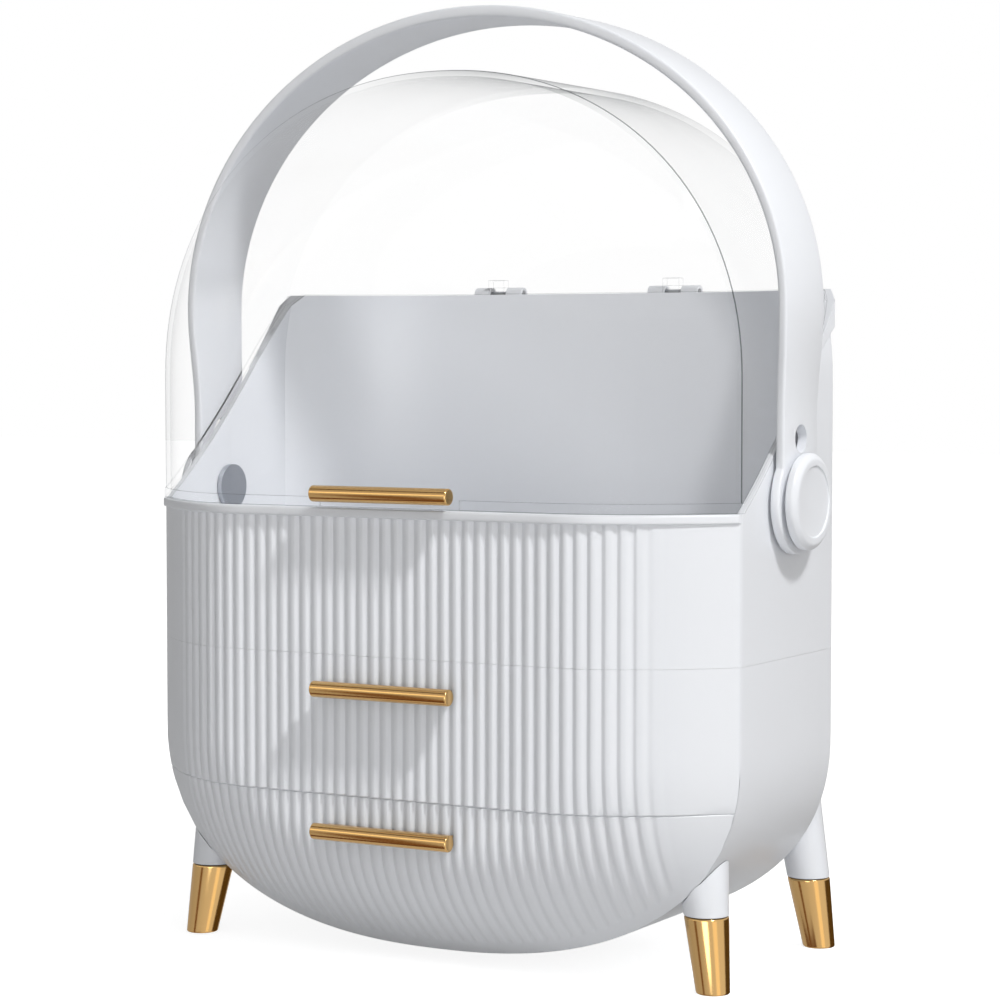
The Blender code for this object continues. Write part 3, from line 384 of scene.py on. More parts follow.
def clear_wall(material):
    """A thin clear wall: light passes, and its edges and grazing parts get painted grey shade as fine lines.
    """
    tree = material.node_tree
    shader = tree.nodes["Principled BSDF"].outputs["BSDF"]
    ray = add(tree, "ShaderNodeLightPath").outputs
    passing = add(tree, "ShaderNodeMath", {0: ray["Is Shadow Ray"], 1: ray["Is Diffuse Ray"]},
                  operation="MAXIMUM")
    facing = add(tree, "ShaderNodeLayerWeight", {"Blend": 0.5}).outputs["Facing"]
    grazing = add(tree, "ShaderNodeMath", {0: facing, 1: GRAZING_POWER}, operation="POWER").outputs[0]
    turned_normal = add(tree, "ShaderNodeBevel", {"Radius": EDGE_REACH}, samples=EDGE_SAMPLES)
    plain_normal = add(tree, "ShaderNodeNewGeometry").outputs["Normal"]
    same = add(tree, "ShaderNodeVectorMath", {0: turned_normal.outputs[0], 1: plain_normal},
               operation="DOT_PRODUCT")
    edge = add(tree, "ShaderNodeMath", {0: same.outputs["Value"], 1: EDGE_GAIN, 2: EDGE_START},
               operation="MULTIPLY_ADD", use_clamp=True)
    crease = add(tree, "ShaderNodeAttribute", attribute_name="crease")
    soft_edge = add(tree, "ShaderNodeMath", {0: grazing, 1: SOFT_EDGE_SHARE}, operation="MULTIPLY")
    # How much painted grey shade each place gets: sharp edges, grazing parts and the marked crease line
    dark = add(tree, "ShaderNodeMath", {0: edge.outputs[0], 1: soft_edge.outputs[0]}, operation="MAXIMUM")
    dark = add(tree, "ShaderNodeMath", {0: dark.outputs[0], 1: crease.outputs["Fac"]}, operation="MAXIMUM")
    painted_shade_colour = add(tree, "ShaderNodeMix", {"Factor": dark.outputs[0], 6: srgb(OPEN_TINT), 7: srgb(EDGE_PAINTED_SHADE)},
               data_type="RGBA")
    body = add(tree, "ShaderNodeMath", {0: grazing, 1: BODY_AT_GRAZING, 2: BODY_FACE_ON},
               operation="MULTIPLY_ADD")
    stays = add(tree, "ShaderNodeMath", {0: 1.0, 1: passing.outputs[0]}, operation="SUBTRACT")
    solid = add(tree, "ShaderNodeMath", {0: body.outputs[0], 1: stays.outputs[0]}, operation="MULTIPLY")
    bare = add(tree, "ShaderNodeBsdfTransparent", {"Color": painted_shade_colour.outputs[2]})
    mixed = add(tree, "ShaderNodeMixShader", {0: solid.outputs[0], 1: bare.outputs[0], 2: shader})
    tree.links.new(mixed.outputs[0], tree.nodes["Material Output"].inputs["Surface"])


clear_wall(CLEAR)

# %% Calm plating
BOUNCE_COLOUR = "#8A8478"


def calm_bounce(material, colour):
    """Light that reaches other pieces by way of the plating is soft and dim, as scattered light is."""
    tree = material.node_tree
    shader = tree.nodes["Principled BSDF"].outputs["BSDF"]
    ray = add(tree, "ShaderNodeLightPath").outputs["Is Diffuse Ray"]
    dull = add(tree, "ShaderNodeBsdfDiffuse", {"Color": srgb(colour)})
    mixed = add(tree, "ShaderNodeMixShader", {0: ray, 1: shader, 2: dull.outputs[0]})
    tree.links.new(mixed.outputs[0], tree.nodes["Material Output"].inputs["Surface"])


calm_bounce(GOLD, BOUNCE_COLOUR)
print("finishes:", [m.name for m in (WHITE, MATT, GOLD, STEEL, CLEAR)])

# %% [markdown]
# ## Putting a piece in place
# Each fine piece replaces its plain solid, which is hidden, and rides on an empty named for the body that
# carries it: the case, the lid, a drawer or the handle. It gets its own finish in place of the solid's.
# The body's own middle stands 1.5 mm behind the middle of the floor plan, so every mesh is moved by that
# much.

# %% Placing
MIDDLE_SHIFT = 1.5 * MM
SHARP_DEGREES = 32


def place(piece, node, body, material):
    """Names and finishes a piece, moves it into the shared frame and lets it stand for its CAD node."""
    piece.name = "fine_" + node
    piece.data.name = piece.name
    piece.data.transform(Matrix.Translation((0, MIDDLE_SHIFT, 0)))
    piece.data.materials.clear()
    piece.data.materials.append(material)
    piece.data.shade_smooth()
    piece.data.set_sharp_from_angle(angle=radians(SHARP_DEGREES))
    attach(piece, body)
    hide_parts(node)
    print(piece.name, len(piece.data.polygons), "faces on", body)


# %% [markdown]
# ## Flutes
# The bin front and both drawer fronts are moulded with upright ribs: broad round crowns with narrow valleys
# between them, 5.6 mm apart. Each rib could be modelled and repeated, or drawn by a bump, but a bump leaves
# the outline smooth. The ribs are a rule, so a node tree carves them: it reads each point's place across the
# front, works out how far that place is from the middle of a valley, and sinks the point by a smooth wave. A
# mask on the points keeps the margins, the lip and the edges plain.

# %% Flute tree
FLUTE_PITCH = 5.58 * MM
FLUTE_DEPTH = 1.15 * MM
FLUTE_SHARPNESS = 1.9


def flute_tree():
    """Sinks points of a front by a repeating valley; inputs are pitch, depth and sharpness."""
    tree = bpy.data.node_groups.new("flutes", "GeometryNodeTree")
    for label, kind in (("Geometry", "NodeSocketGeometry"), ("Pitch", "NodeSocketFloat"),
                        ("Depth", "NodeSocketFloat"), ("Sharpness", "NodeSocketFloat"),
                        ("Finish", "NodeSocketMaterial")):
        tree.interface.new_socket(label, in_out="INPUT", socket_type=kind)
    tree.interface.new_socket("Geometry", in_out="OUTPUT", socket_type="NodeSocketGeometry")
    given = add(tree, "NodeGroupInput").outputs
    across = add(tree, "ShaderNodeSeparateXYZ", {0: add(tree, "GeometryNodeInputPosition").outputs[0]})
    turns = add(tree, "ShaderNodeMath", {0: across.outputs["X"], 1: given["Pitch"]}, operation="DIVIDE")
    angle = add(tree, "ShaderNodeMath", {0: turns.outputs[0], 1: 2 * pi}, operation="MULTIPLY")
    wave = add(tree, "ShaderNodeMath", {0: angle.outputs[0]}, operation="COSINE")
    raised = add(tree, "ShaderNodeMath", {0: wave.outputs[0], 1: 0.5, 2: 0.5}, operation="MULTIPLY_ADD")
    valley = add(tree, "ShaderNodeMath", {0: raised.outputs[0], 1: given["Sharpness"]}, operation="POWER")
    deep = add(tree, "ShaderNodeMath", {0: valley.outputs[0], 1: given["Depth"]}, operation="MULTIPLY")
    mask = add(tree, "GeometryNodeInputNamedAttribute", {"Name": "flute"}, data_type="FLOAT")
    masked = add(tree, "ShaderNodeMath", {0: deep.outputs[0], 1: mask.outputs["Attribute"]},
                 operation="MULTIPLY")
    move = add(tree, "ShaderNodeCombineXYZ", {"Y": masked.outputs[0]})
    sunk = add(tree, "GeometryNodeSetPosition", {"Geometry": given["Geometry"], "Offset": move.outputs[0]})
    real = add(tree, "GeometryNodeRealizeInstances", {0: sunk.outputs[0]})
    coated = add(tree, "GeometryNodeSetMaterial", {"Geometry": real.outputs[0], "Material": given["Finish"]})
    add(tree, "NodeGroupOutput", {0: coated.outputs[0]})
    return tree


FLUTES = flute_tree()


def carve_flutes(piece):
    """Runs the flute tree on a piece and keeps what it makes as plain mesh."""
    step = piece.modifiers.new("flutes", "NODES")
    step.node_group = FLUTES
    wanted = {"Pitch": FLUTE_PITCH, "Depth": FLUTE_DEPTH, "Sharpness": FLUTE_SHARPNESS, "Finish": WHITE}
    for item in FLUTES.interface.items_tree:
        if item.in_out == "INPUT" and item.name in wanted:
            step[item.identifier] = wanted[item.name]
    applied(piece)


print("flute tree:", len(FLUTES.nodes), "nodes")

# %% [markdown]
# ## Blocks for the fronts
# A front is a thick plate that follows the egg in front and is flat behind. A grid cut by a Boolean would
# lose its even columns, which the ribs need. So the block is built column by column: ten columns to each rib,
# closer ones where the front turns round the crease into the side wall, and rows where an edge or lip needs
# them.

# %% Columns and crease
FLUTE_REACH = 22.5 * FLUTE_PITCH
FLUTE_FULL_REACH = 104 * MM
FLUTE_PLAIN_REACH = 120 * MM
FLUTE_STEPS = 10
CREASE_ROUND = 1.3 * MM
CREASE_END_SHARE = 0.1
CREASE_COLUMNS = 6


def flute_columns(half_width):
    """Places across a front: ten to each flute, then the plain margins."""
    count = round(FLUTE_REACH / FLUTE_PITCH * FLUTE_STEPS)
    inner = [FLUTE_REACH * i / count for i in range(-count, count + 1)
             if FLUTE_REACH * abs(i) / count < half_width - GAP]
    margin = [(FLUTE_REACH + half_width) / 2]
    margin += [half_width - CREASE_ROUND * i / CREASE_COLUMNS for i in range(CREASE_COLUMNS + 1, -1, -1)]
    margin = [x for x in margin if x > inner[-1] + GAP / 2]
    return [-x for x in reversed(margin)] + inner + margin


def eased(way):
    """A share of the way with a soft start and a soft end."""
    return way * way * (3 - 2 * way)


def flute_share(x):
    """The ribs run out softly towards both ends of a front."""
    return eased(max(0, min(1, (FLUTE_PLAIN_REACH - abs(x)) / (FLUTE_PLAIN_REACH - FLUTE_FULL_REACH))))


def front_bulge(share, bulge):
    """How far the front stands out at a share of its slope, with its crease at the side walls rounded."""
    plain = bulge * (1 - share ** 2)
    last = 1 - CREASE_ROUND / SLOPE_WIDTH
    if share <= last:
        return plain
    way = 1 - ((1 - share) / (1 - last)) ** 0.5
    curved = bulge * (1 - last ** 2) * (1 - way) ** 2 - CREASE_ROUND * way ** 2
    return max(curved, CREASE_END_SHARE * plain)


# %% Fluted block
def fluted_block(columns, rows_of, bulge=BULGE):
    """A closed block with a bulged front; rows_of(x) gives (height, proud, flute share) rows."""
    points, masks = [], []
    for x in columns:
        for z, proud, mask in rows_of(x):
            share = front_share(x, z)
            y = -(SIDE_HALF_DEPTH + front_bulge(share, bulge)) - proud
            points.append((x, min(y, -SIDE_HALF_DEPTH), z))
            masks.append(mask * flute_share(x))
    rows, wide = len(rows_of(0)), len(columns)
    feet = [c * rows for c in range(wide)]
    tops = [foot + rows - 1 for foot in feet]

    def behind(index):
        """The point of the flat back behind a point of the front, or that point where both are one."""
        if abs(points[index][1] + SIDE_HALF_DEPTH) < TOUCH:
            return index
        points.append((points[index][0], -SIDE_HALF_DEPTH, points[index][2]))
        masks.append(0)
        return len(points) - 1

    back_feet = [behind(i) for i in feet]
    back_tops = [behind(i) for i in tops]
    faces = [(a, a + rows, a + rows + 1, a + 1) for foot in feet[:-1] for a in range(foot, foot + rows - 1)]
    for c in range(wide - 1):
        faces.append((tops[c], tops[c + 1], back_tops[c + 1], back_tops[c]))
        faces.append((feet[c], back_feet[c], back_feet[c + 1], feet[c + 1]))
        faces.append((back_feet[c], back_tops[c], back_tops[c + 1], back_feet[c + 1]))
    for c, own in ((0, feet[0]), (wide - 1, feet[-1])):
        faces.append(tuple(list(range(own, own + rows)) + [back_tops[c], back_feet[c]]))
    faces = [tuple(dict.fromkeys(face)) for face in faces]
    made = new_object("front", points, [face for face in faces if len(face) > 2])
    layer = made.data.attributes.new("flute", "FLOAT", "POINT")
    layer.data.foreach_set("value", masks)
    return made


# %% [markdown]
# ## Bin front
# The fixed front of the bin carries the same ribs and ends in a plain lip that stands proud along the rim.
# The lip could be a strip of its own, but on the real piece it is moulded on, so it is made of the block's
# top rows. The block is then hollowed to the case's wall.

# %% Bin front
CASE_WALL = 2.5 * MM
UPPER_SEAM_Z = 132.2 * MM
UPPER_SEAM_GAP = 0.04 * MM
LIP_HEIGHT = 3.7 * MM
LIP_PROUD = 1.8 * MM
LIP_ROUND = 0.9 * MM


def lip_rows(lip_z, top_z):
    """The rim lip's rounded outline from its underside to its top, as plain rows."""
    corners = [(lip_z, 0), (lip_z, LIP_PROUD), (top_z, LIP_PROUD), (top_z, 0)]
    return [(z, proud, 0) for z, proud in rounded(corners, LIP_ROUND)[1:-1]]


bin_floor = UPPER_SEAM_Z + UPPER_SEAM_GAP / 2
bin_top = RIM_FRONT_Z - GAP / 2
bin_lip = bin_top - LIP_HEIGHT
bin_rows = [(bin_floor, 0, 1), (bin_lip, 0, 1), (bin_lip, 0, 0)]
bin_rows += lip_rows(bin_lip, bin_top)
bin_front = fluted_block(flute_columns(BODY_HALF_WIDTH - GAP), lambda x: bin_rows)
carve_flutes(bin_front)
cut(bin_front, keep(egg(CASE_WALL), slab(z_range=(bin_floor + CASE_WALL, FAR))))
place(bin_front, "bin_front", "case", WHITE)

# %% [markdown]
# ## Drawer fronts
# Both drawer fronts continue the egg, so that the closed drawers show only as fine seams. At its lower
# corners the upper one follows the belly's curve. The lower one is a shallow bowl with a plain margin along
# its foot, where the ribs fade. Each could be a bent plate, but the real ones are hollow mouldings with a
# flange behind, which the tray meets, so a smaller egg is cut out of the block.

# %% Upper drawer front
LOWER_SEAM_Z = 74.05 * MM
LOWER_SEAM_GAP = 0.12 * MM
EDGE_ROUND = 0.4 * MM
FLANGE_THICKNESS = 2.5 * MM
UPPER_FLANGE_WIDTH = 6 * MM
UPPER_ROWS = 6
upper_foot = LOWER_SEAM_Z + LOWER_SEAM_GAP / 2
upper_top = UPPER_SEAM_Z - UPPER_SEAM_GAP / 2
upper_reach = half_width_at(upper_foot)


def hollowed(front, floor_z, flange_floor_z, flange_width):
    """Hollows a drawer's front and leaves a flange round its back edge for the tray."""
    flange_y = -SIDE_HALF_DEPTH - FLANGE_THICKNESS
    cut(front, keep(egg(CASE_WALL), slab((-FAR, flange_y), (floor_z, DOME_CENTRE_Z))))
    cut(front, keep(egg(flange_width), slab((flange_y - CASE_WALL, FAR), (flange_floor_z, DOME_CENTRE_Z))))


def upper_rows(x):
    """Rows of the upper front: past the lower seam's ends its foot follows the belly."""
    foot = upper_foot if abs(x) <= upper_reach else belly_z(x)
    span = BELLY_CENTRE_Z - foot
    rows = [(foot, -EDGE_ROUND if abs(x) < upper_reach else 0, 1)]
    rows += [(foot + EDGE_ROUND + (span - EDGE_ROUND) * i / UPPER_ROWS, 0, 1) for i in range(UPPER_ROWS + 1)]
    return rows + [(upper_top, 0, 1)]


upper_columns = flute_columns(BODY_HALF_WIDTH - GAP)
upper_front = fluted_block(sorted(set(upper_columns + [-upper_reach, upper_reach])), upper_rows)
carve_flutes(upper_front)
hollowed(upper_front, upper_foot + CASE_WALL, upper_foot + CASE_WALL, UPPER_FLANGE_WIDTH)
place(upper_front, "upper_drawer_front", "upper_drawer", WHITE)

# %% Lower drawer front
FLUTE_END_MARGIN = 4.5 * MM
FLUTE_RUN_OUT = 3 * MM
LOWER_FRONT_SET_BACK = 0.8 * MM
LOWER_FLANGE_WIDTH = 9 * MM
LOWER_TRAY_BASE_Z = 20 * MM
TRAY_WALL = 1.8 * MM
LOWER_ROWS = 22
FADE_ROWS = 6
# No margin takes more than one such part of a column's height, where the bowl is low
ROOM_PARTS = 4
lower_top = LOWER_SEAM_Z - LOWER_SEAM_GAP / 2
lower_reach = half_width_at(lower_top) - GAP


def lower_rows(x):
    """Rows of the lower front: a plain foot, the rows where the ribs fade, and the ribs."""
    foot = belly_z(x)
    room = lower_top - foot
    margin, run_out = min(FLUTE_END_MARGIN, room / ROOM_PARTS), min(FLUTE_RUN_OUT, room / ROOM_PARTS)
    fade = [i / FADE_ROWS for i in range(FADE_ROWS + 1)]
    rows = [(foot, 0, 0)]
    rows += [(foot + margin + run_out * f, 0, (1 - cos(pi * f)) / 2) for f in fade]
    start = foot + margin + run_out
    span = lower_top - EDGE_ROUND - start
    rows += [(start + span * i / LOWER_ROWS, 0, 1) for i in range(1, LOWER_ROWS + 1)]
    return rows + [(lower_top, -min(EDGE_ROUND, room / ROOM_PARTS), 1)]


lower_front = fluted_block(flute_columns(lower_reach), lower_rows, BULGE - LOWER_FRONT_SET_BACK)
carve_flutes(lower_front)
hollowed(lower_front, 0, LOWER_TRAY_BASE_Z + TRAY_WALL, LOWER_FLANGE_WIDTH)
place(lower_front, "lower_drawer_front", "lower_drawer", WHITE)

# %% [markdown]
# ## Cases
# The drawer case is the belly with its sides and rounded back, in one moulding, with two runners and two
# screw bosses inside. The bin case stands on it: slanted side walls, an upright collar at the back that runs
# out along the slope, and four hinge barrels. Solidify could give such walls, but it thickens a wall at right
# angles only. Cutting a smaller egg out of a larger one leaves the true edges at the seams and the rim.

# %% Drawer case
FRONT_SEAM_GAP = 0.04 * MM
BOSS_RADIUS = 4 * MM
BOSS_HEIGHT = 30 * MM
CASE_SCREW_X = 60 * MM
CASE_SCREW_Y = 69 * MM
CASE_SCREW_RADIUS = 1.5 * MM
RUNNER_X = 60 * MM
RUNNER_WIDTH = 4 * MM
TRAY_BACK_Y = 58 * MM
boss_top = UPPER_SEAM_Z - GAP / 2

drawer_case = keep(egg(0, CREASE_ROUND), slab((FRONT_SEAM_GAP - SIDE_HALF_DEPTH, FAR), (0, upper_top)))
cut(drawer_case, egg(CASE_WALL))
for side in (-1, 1):
    runner = slab((GAP - SIDE_HALF_DEPTH, TRAY_BACK_Y), (0, LOWER_TRAY_BASE_Z - GAP),
                  (side * RUNNER_X - RUNNER_WIDTH / 2, side * RUNNER_X + RUNNER_WIDTH / 2))
    join(drawer_case, keep(runner, egg(CASE_WALL / 2)))
    boss = turned("boss", [(0, BOSS_RADIUS), (BOSS_HEIGHT, BOSS_RADIUS)],
                  (side * CASE_SCREW_X, CASE_SCREW_Y, boss_top), (0, 0, -1), SMALL_ROUND_SIDES)
    rib = slab((CASE_SCREW_Y, FAR), (boss_top - BOSS_HEIGHT, boss_top),
               (side * CASE_SCREW_X - CASE_SCREW_RADIUS, side * CASE_SCREW_X + CASE_SCREW_RADIUS))
    join(drawer_case, join(boss, keep(rib, egg(CASE_WALL / 2))))
place(drawer_case, "drawer_case", "case", WHITE)

# %% Hinges and collar
COLLAR_SIDE_PROUD = 0.5 * MM
COLLAR_BACK_PROUD = 0.8 * MM
COLLAR_ROOT_DEPTH = 1.2 * MM
COLLAR_HEIGHT = 16 * MM
COLLAR_REACH = 25 * MM
HINGE_X = 45 * MM
BARREL_RADIUS = 3.2 * MM
BARREL_SIDES = 40
HINGE_PIN_RADIUS = 1.5 * MM
HOOD_BARREL_HALF = 4 * MM
CASE_BARREL_LENGTH = 8 * MM
HINGE_WEB_HEIGHT = 6.5 * MM
HINGE_Y = SIDE_HALF_DEPTH + BULGE + COLLAR_BACK_PROUD + GAP + BARREL_RADIUS


def hinge_part(x_low, x_high, z_low, z_high):
    """A hinge barrel with the web that carries it."""
    root_y = HINGE_Y - BARREL_RADIUS - COLLAR_BACK_PROUD - CASE_WALL
    web = slab((root_y, HINGE_Y), (z_low, z_high), (x_low, x_high))
    barrel = turned("barrel", [(0, BARREL_RADIUS), (x_high - x_low, BARREL_RADIUS)],
                    (x_low, HINGE_Y, RIM_REAR_Z), (1, 0, 0), BARREL_SIDES)
    bore = turned("bore", [(0, HINGE_PIN_RADIUS + GAP), (HINGE_X, HINGE_PIN_RADIUS + GAP)],
                  ((x_low + x_high - HINGE_X) / 2, HINGE_Y, RIM_REAR_Z), (1, 0, 0), SMALL_ROUND_SIDES)
    return cut(join(barrel, web), bore)


def collar():
    """The upright band round the back of the bin, which runs out forwards along the slanted rim."""
    half_width, bulge = BODY_HALF_WIDTH + COLLAR_SIDE_PROUD, BULGE + COLLAR_BACK_PROUD
    start_y, low_z = SIDE_HALF_DEPTH - COLLAR_REACH, RIM_REAR_Z - COLLAR_HEIGHT
    shares = [i / BULGE_STEPS for i in range(BULGE_STEPS + 1)]
    arc = [(FLAT_HALF_WIDTH + s * (half_width - FLAT_HALF_WIDTH), SIDE_HALF_DEPTH + bulge * (1 - s ** 2))
           for s in shares]
    plan = [(-half_width, 0)] + [(-x, y) for x, y in reversed(arc)] + arc + [(half_width, 0)]
    band = loft("collar", [[(x, y, z) for x, y in plan] for z in (UPPER_SEAM_Z, FAR)])
    outline = rim_line(-GAP / 2, start_y) + [(FAR, low_z), (SIDE_HALF_DEPTH, low_z)]
    return cut(keep(band, prism(outline)), egg(COLLAR_ROOT_DEPTH))


# %% Bin case
PIVOT_Z = 196.1 * MM
STUD_RADIUS = 5.7 * MM

under_rim = prism(rim_line(-GAP / 2) + [(FAR, 0), (-FAR, 0)])
bin_case = keep(egg(0, CREASE_ROUND), slab((FRONT_SEAM_GAP - SIDE_HALF_DEPTH, FAR), (bin_floor, FAR)))
keep(bin_case, under_rim)
cut(bin_case, keep(egg(CASE_WALL), slab(z_range=(bin_floor + CASE_WALL, FAR))))
join(bin_case, collar())
for side in (-1, 1):
    for end in (-1, 1):
        near_x = side * HINGE_X + end * (HOOD_BARREL_HALF + GAP)
        far_x = near_x + end * CASE_BARREL_LENGTH
        join(bin_case, hinge_part(min(near_x, far_x), max(near_x, far_x), RIM_REAR_Z - HINGE_WEB_HEIGHT,
                                  RIM_REAR_Z - GAP))
    cut(bin_case, turned("bore", [(0, STUD_RADIUS + GAP), (3 * CASE_WALL, STUD_RADIUS + GAP)],
                         (side * (BODY_HALF_WIDTH - 2 * CASE_WALL), 0, PIVOT_Z), (side, 0, 0)))
place(bin_case, "bin_case", "case", WHITE)

# %% [markdown]
# ## Clear hood
# The hood is one clear moulding of even wall. A low flange stands proud along its lower edge and shows as a
# fine line above the rim; it is left out behind the gold pull. Two small barrels turn on the hinge pins. The
# front crease of the real hood catches the light as one thin line. A bevel alone would be too fine to show,
# so the points in the middle of the rounded crease carry a mark, which the clear finish paints as a thin
# line of grey shade.

# %% Hood
HOOD_WALL = 2.5 * MM
HOOD_FLANGE_HEIGHT = 4.1 * MM
HOOD_FLANGE_PROUD = 0.8 * MM
HOOD_FLANGE_NOTCH = 33.4 * MM
HOOD_CREASE_ROUND = 0.6 * MM
CREASE_LINE_STEPS = (2, 3)

over_rim = prism(rim_line(GAP / 2) + [(FAR, 2 * FAR), (-FAR, 2 * FAR)])
hood = keep(egg(0, HOOD_CREASE_ROUND), over_rim)
flange_band = prism(rim_line(GAP / 2) + list(reversed(rim_line(GAP / 2 + HOOD_FLANGE_HEIGHT))))
flange = keep(egg(-HOOD_FLANGE_PROUD), flange_band)
keep(flange, slab((-FAR, SIDE_HALF_DEPTH)))
cut(flange, slab((-FAR, 0), x_range=(-HOOD_FLANGE_NOTCH, HOOD_FLANGE_NOTCH)))
cut(join(hood, flange), egg(HOOD_WALL))
for side in (-1, 1):
    x = side * HINGE_X
    join(hood, hinge_part(x - HOOD_BARREL_HALF, x + HOOD_BARREL_HALF, RIM_REAR_Z + GAP / 2,
                          RIM_REAR_Z + HINGE_WEB_HEIGHT))

# %% Crease line of the hood
slope = BULGE / SLOPE_WIDTH * 2
ways = [step / CREASE_STEPS for step in CREASE_LINE_STEPS]
line_depths = [SIDE_HALF_DEPTH + HOOD_CREASE_ROUND * (slope * (1 - way) ** 2 - way ** 2) for way in ways]
# Points on the crease line carry the mark that the clear finish paints as grey shade
painted_crease_marks = [float(min(abs(point.co.y + depth) for depth in line_depths) < TOUCH) for point in hood.data.vertices]
hood.data.attributes.new("crease", "FLOAT", "POINT").data.foreach_set("value", painted_crease_marks)
print("points on the hood's crease line:", sum(painted_crease_marks))
place(hood, "lid_hood", "lid", CLEAR)

# %% [markdown]
# ## Carry handle
# The handle is a flat strap bent into an arch, with broken edges. Its arms lean in at their lower ends and
# end in round eyes over the pivots, and a round hole sits above each eye. A curve with a bevel profile could
# follow the arch, but it can't change from thin arms to a thicker top and wide eyes. So the strap is lofted
# from one section to the next, and the holes are cut through it.

# %% Carry handle
HANDLE_HALF_WIDTH = 147.1 * MM
HANDLE_THICKNESS_SIDE = 4 * MM
HANDLE_THICKNESS_TOP = 5 * MM
HANDLE_CENTRE_Z = 275 * MM
HANDLE_TOP_Z = 402.8 * MM
HANDLE_BAND_HALF = 18.8 * MM
HANDLE_ARM_BAND_HALF = 16.5 * MM
HANDLE_LEAN_BOTTOM_Z = 230 * MM
HANDLE_WALL_GAP = 1.2 * MM
HANDLE_ROUND = 1.1 * MM
HANDLE_ROUND_LIMIT_SHARE = 0.9
HANDLE_CORNER_STEPS = 3
HANDLE_EYE_RADIUS = 21.5 * MM
HANDLE_EYE_FIRST_STEP = 0.3
HANDLE_HOLE_RADIUS = 5.75 * MM
HANDLE_HOLE_RISE = 25.5 * MM
ARCH_STEPS = 128
ARM_STEPS = 40


def arm_station(z):
    """Outer edge, inner edge and half band width of the left arm at a height."""
    foot_inner = BODY_HALF_WIDTH + HANDLE_WALL_GAP
    lean = eased(max(0, min(1, (z - HANDLE_LEAN_BOTTOM_Z) / (HANDLE_CENTRE_Z - HANDLE_LEAN_BOTTOM_Z))))
    outer = foot_inner + HANDLE_THICKNESS_SIDE
    outer += lean * (HANDLE_HALF_WIDTH - foot_inner - HANDLE_THICKNESS_SIDE)
    half = HANDLE_ARM_BAND_HALF + lean * (HANDLE_BAND_HALF - HANDLE_ARM_BAND_HALF)
    from_pivot = z - PIVOT_Z
    eye = max(0, HANDLE_EYE_RADIUS ** 2 - from_pivot ** 2) ** 0.5
    half = eye if from_pivot < 0 else max(half, eye)
    return (-outer, z), (HANDLE_THICKNESS_SIDE - outer, z), half


def handle_stations():
    """The sections of the strap from the left eye over the arch to the right eye."""
    inner_half = HANDLE_HALF_WIDTH - HANDLE_THICKNESS_SIDE
    rise = HANDLE_TOP_Z - HANDLE_CENTRE_Z
    turns = [pi / 2 * (i + HANDLE_EYE_FIRST_STEP) / ARM_STEPS for i in range(ARM_STEPS)]
    left = [arm_station(PIVOT_Z - HANDLE_EYE_RADIUS * cos(turn)) for turn in turns]
    left += [arm_station(PIVOT_Z + (HANDLE_CENTRE_Z - PIVOT_Z) * i / ARM_STEPS) for i in range(ARM_STEPS)]
    arch = []
    for i in range(ARCH_STEPS + 1):
        angle = pi - pi * i / ARCH_STEPS
        outer = (HANDLE_HALF_WIDTH * cos(angle), HANDLE_CENTRE_Z + rise * sin(angle))
        inner = (inner_half * cos(angle), HANDLE_CENTRE_Z + (rise - HANDLE_THICKNESS_TOP) * sin(angle))
        arch.append((outer, inner, HANDLE_BAND_HALF))
    right = [((-o[0], o[1]), (-i[0], i[1]), w) for o, i, w in reversed(left)]
    return left + arch + right


def strap_section(outer, inner, half):
    """A flat oblong section with rounded corners between the outer and inner edge."""
    thick = hypot(outer[0] - inner[0], outer[1] - inner[1])
    reach = min(HANDLE_ROUND, half * HANDLE_ROUND_LIMIT_SHARE)
    ring = []
    for corner_y, corner_deep, turn in ((1, 0, 0), (1, 1, 1), (-1, 1, 2), (-1, 0, 3)):
        for i in range(HANDLE_CORNER_STEPS + 1):
            angle = pi / 2 * (turn + i / HANDLE_CORNER_STEPS)
            across = corner_y * (half - reach) + reach * sin(angle)
            deep = (reach if corner_deep == 0 else thick - reach) - reach * cos(angle)
            ring.append((across, deep))
    return [(outer[0] + (inner[0] - outer[0]) * deep / thick, across,
             outer[1] + (inner[1] - outer[1]) * deep / thick) for across, deep in ring]


handle = loft("handle", [strap_section(*station) for station in handle_stations()])
for side in (-1, 1):
    for z, radius in ((PIVOT_Z, STUD_RADIUS + GAP), (PIVOT_Z + HANDLE_HOLE_RISE, HANDLE_HOLE_RADIUS)):
        cut(handle, turned("hole", [(0, radius), (4 * HANDLE_THICKNESS_SIDE, radius)],
                           (side * (BODY_HALF_WIDTH - HANDLE_THICKNESS_SIDE), 0, z), (side, 0, 0)))
place(handle, "carry_handle", "handle", WHITE)

# %% [markdown]
# ## Pivot caps
# Each arm is held by a round cap: a raised ring with a soft edge round a flat field that lies slightly
# deeper. A cylinder with bevels would do, but a turned outline shows each step of the real cap as a number.

# %% Pivot caps
CAP_NECK_RADIUS = 12 * MM
CAP_NECK_LENGTH = 1.4 * MM
CAP_RADIUS = 19.75 * MM
CAP_FACE_RADIUS = 17.5 * MM
CAP_RIM_LENGTH = 3 * MM
CAP_LENGTH = 6.2 * MM
CAP_FIELD_RADIUS = 14.5 * MM
CAP_FIELD_DEPTH = 0.6 * MM
CAP_ROUND = 0.8 * MM
CAP_SIDES = 96
STUD_END_FROM_WALL = 9.4 * MM

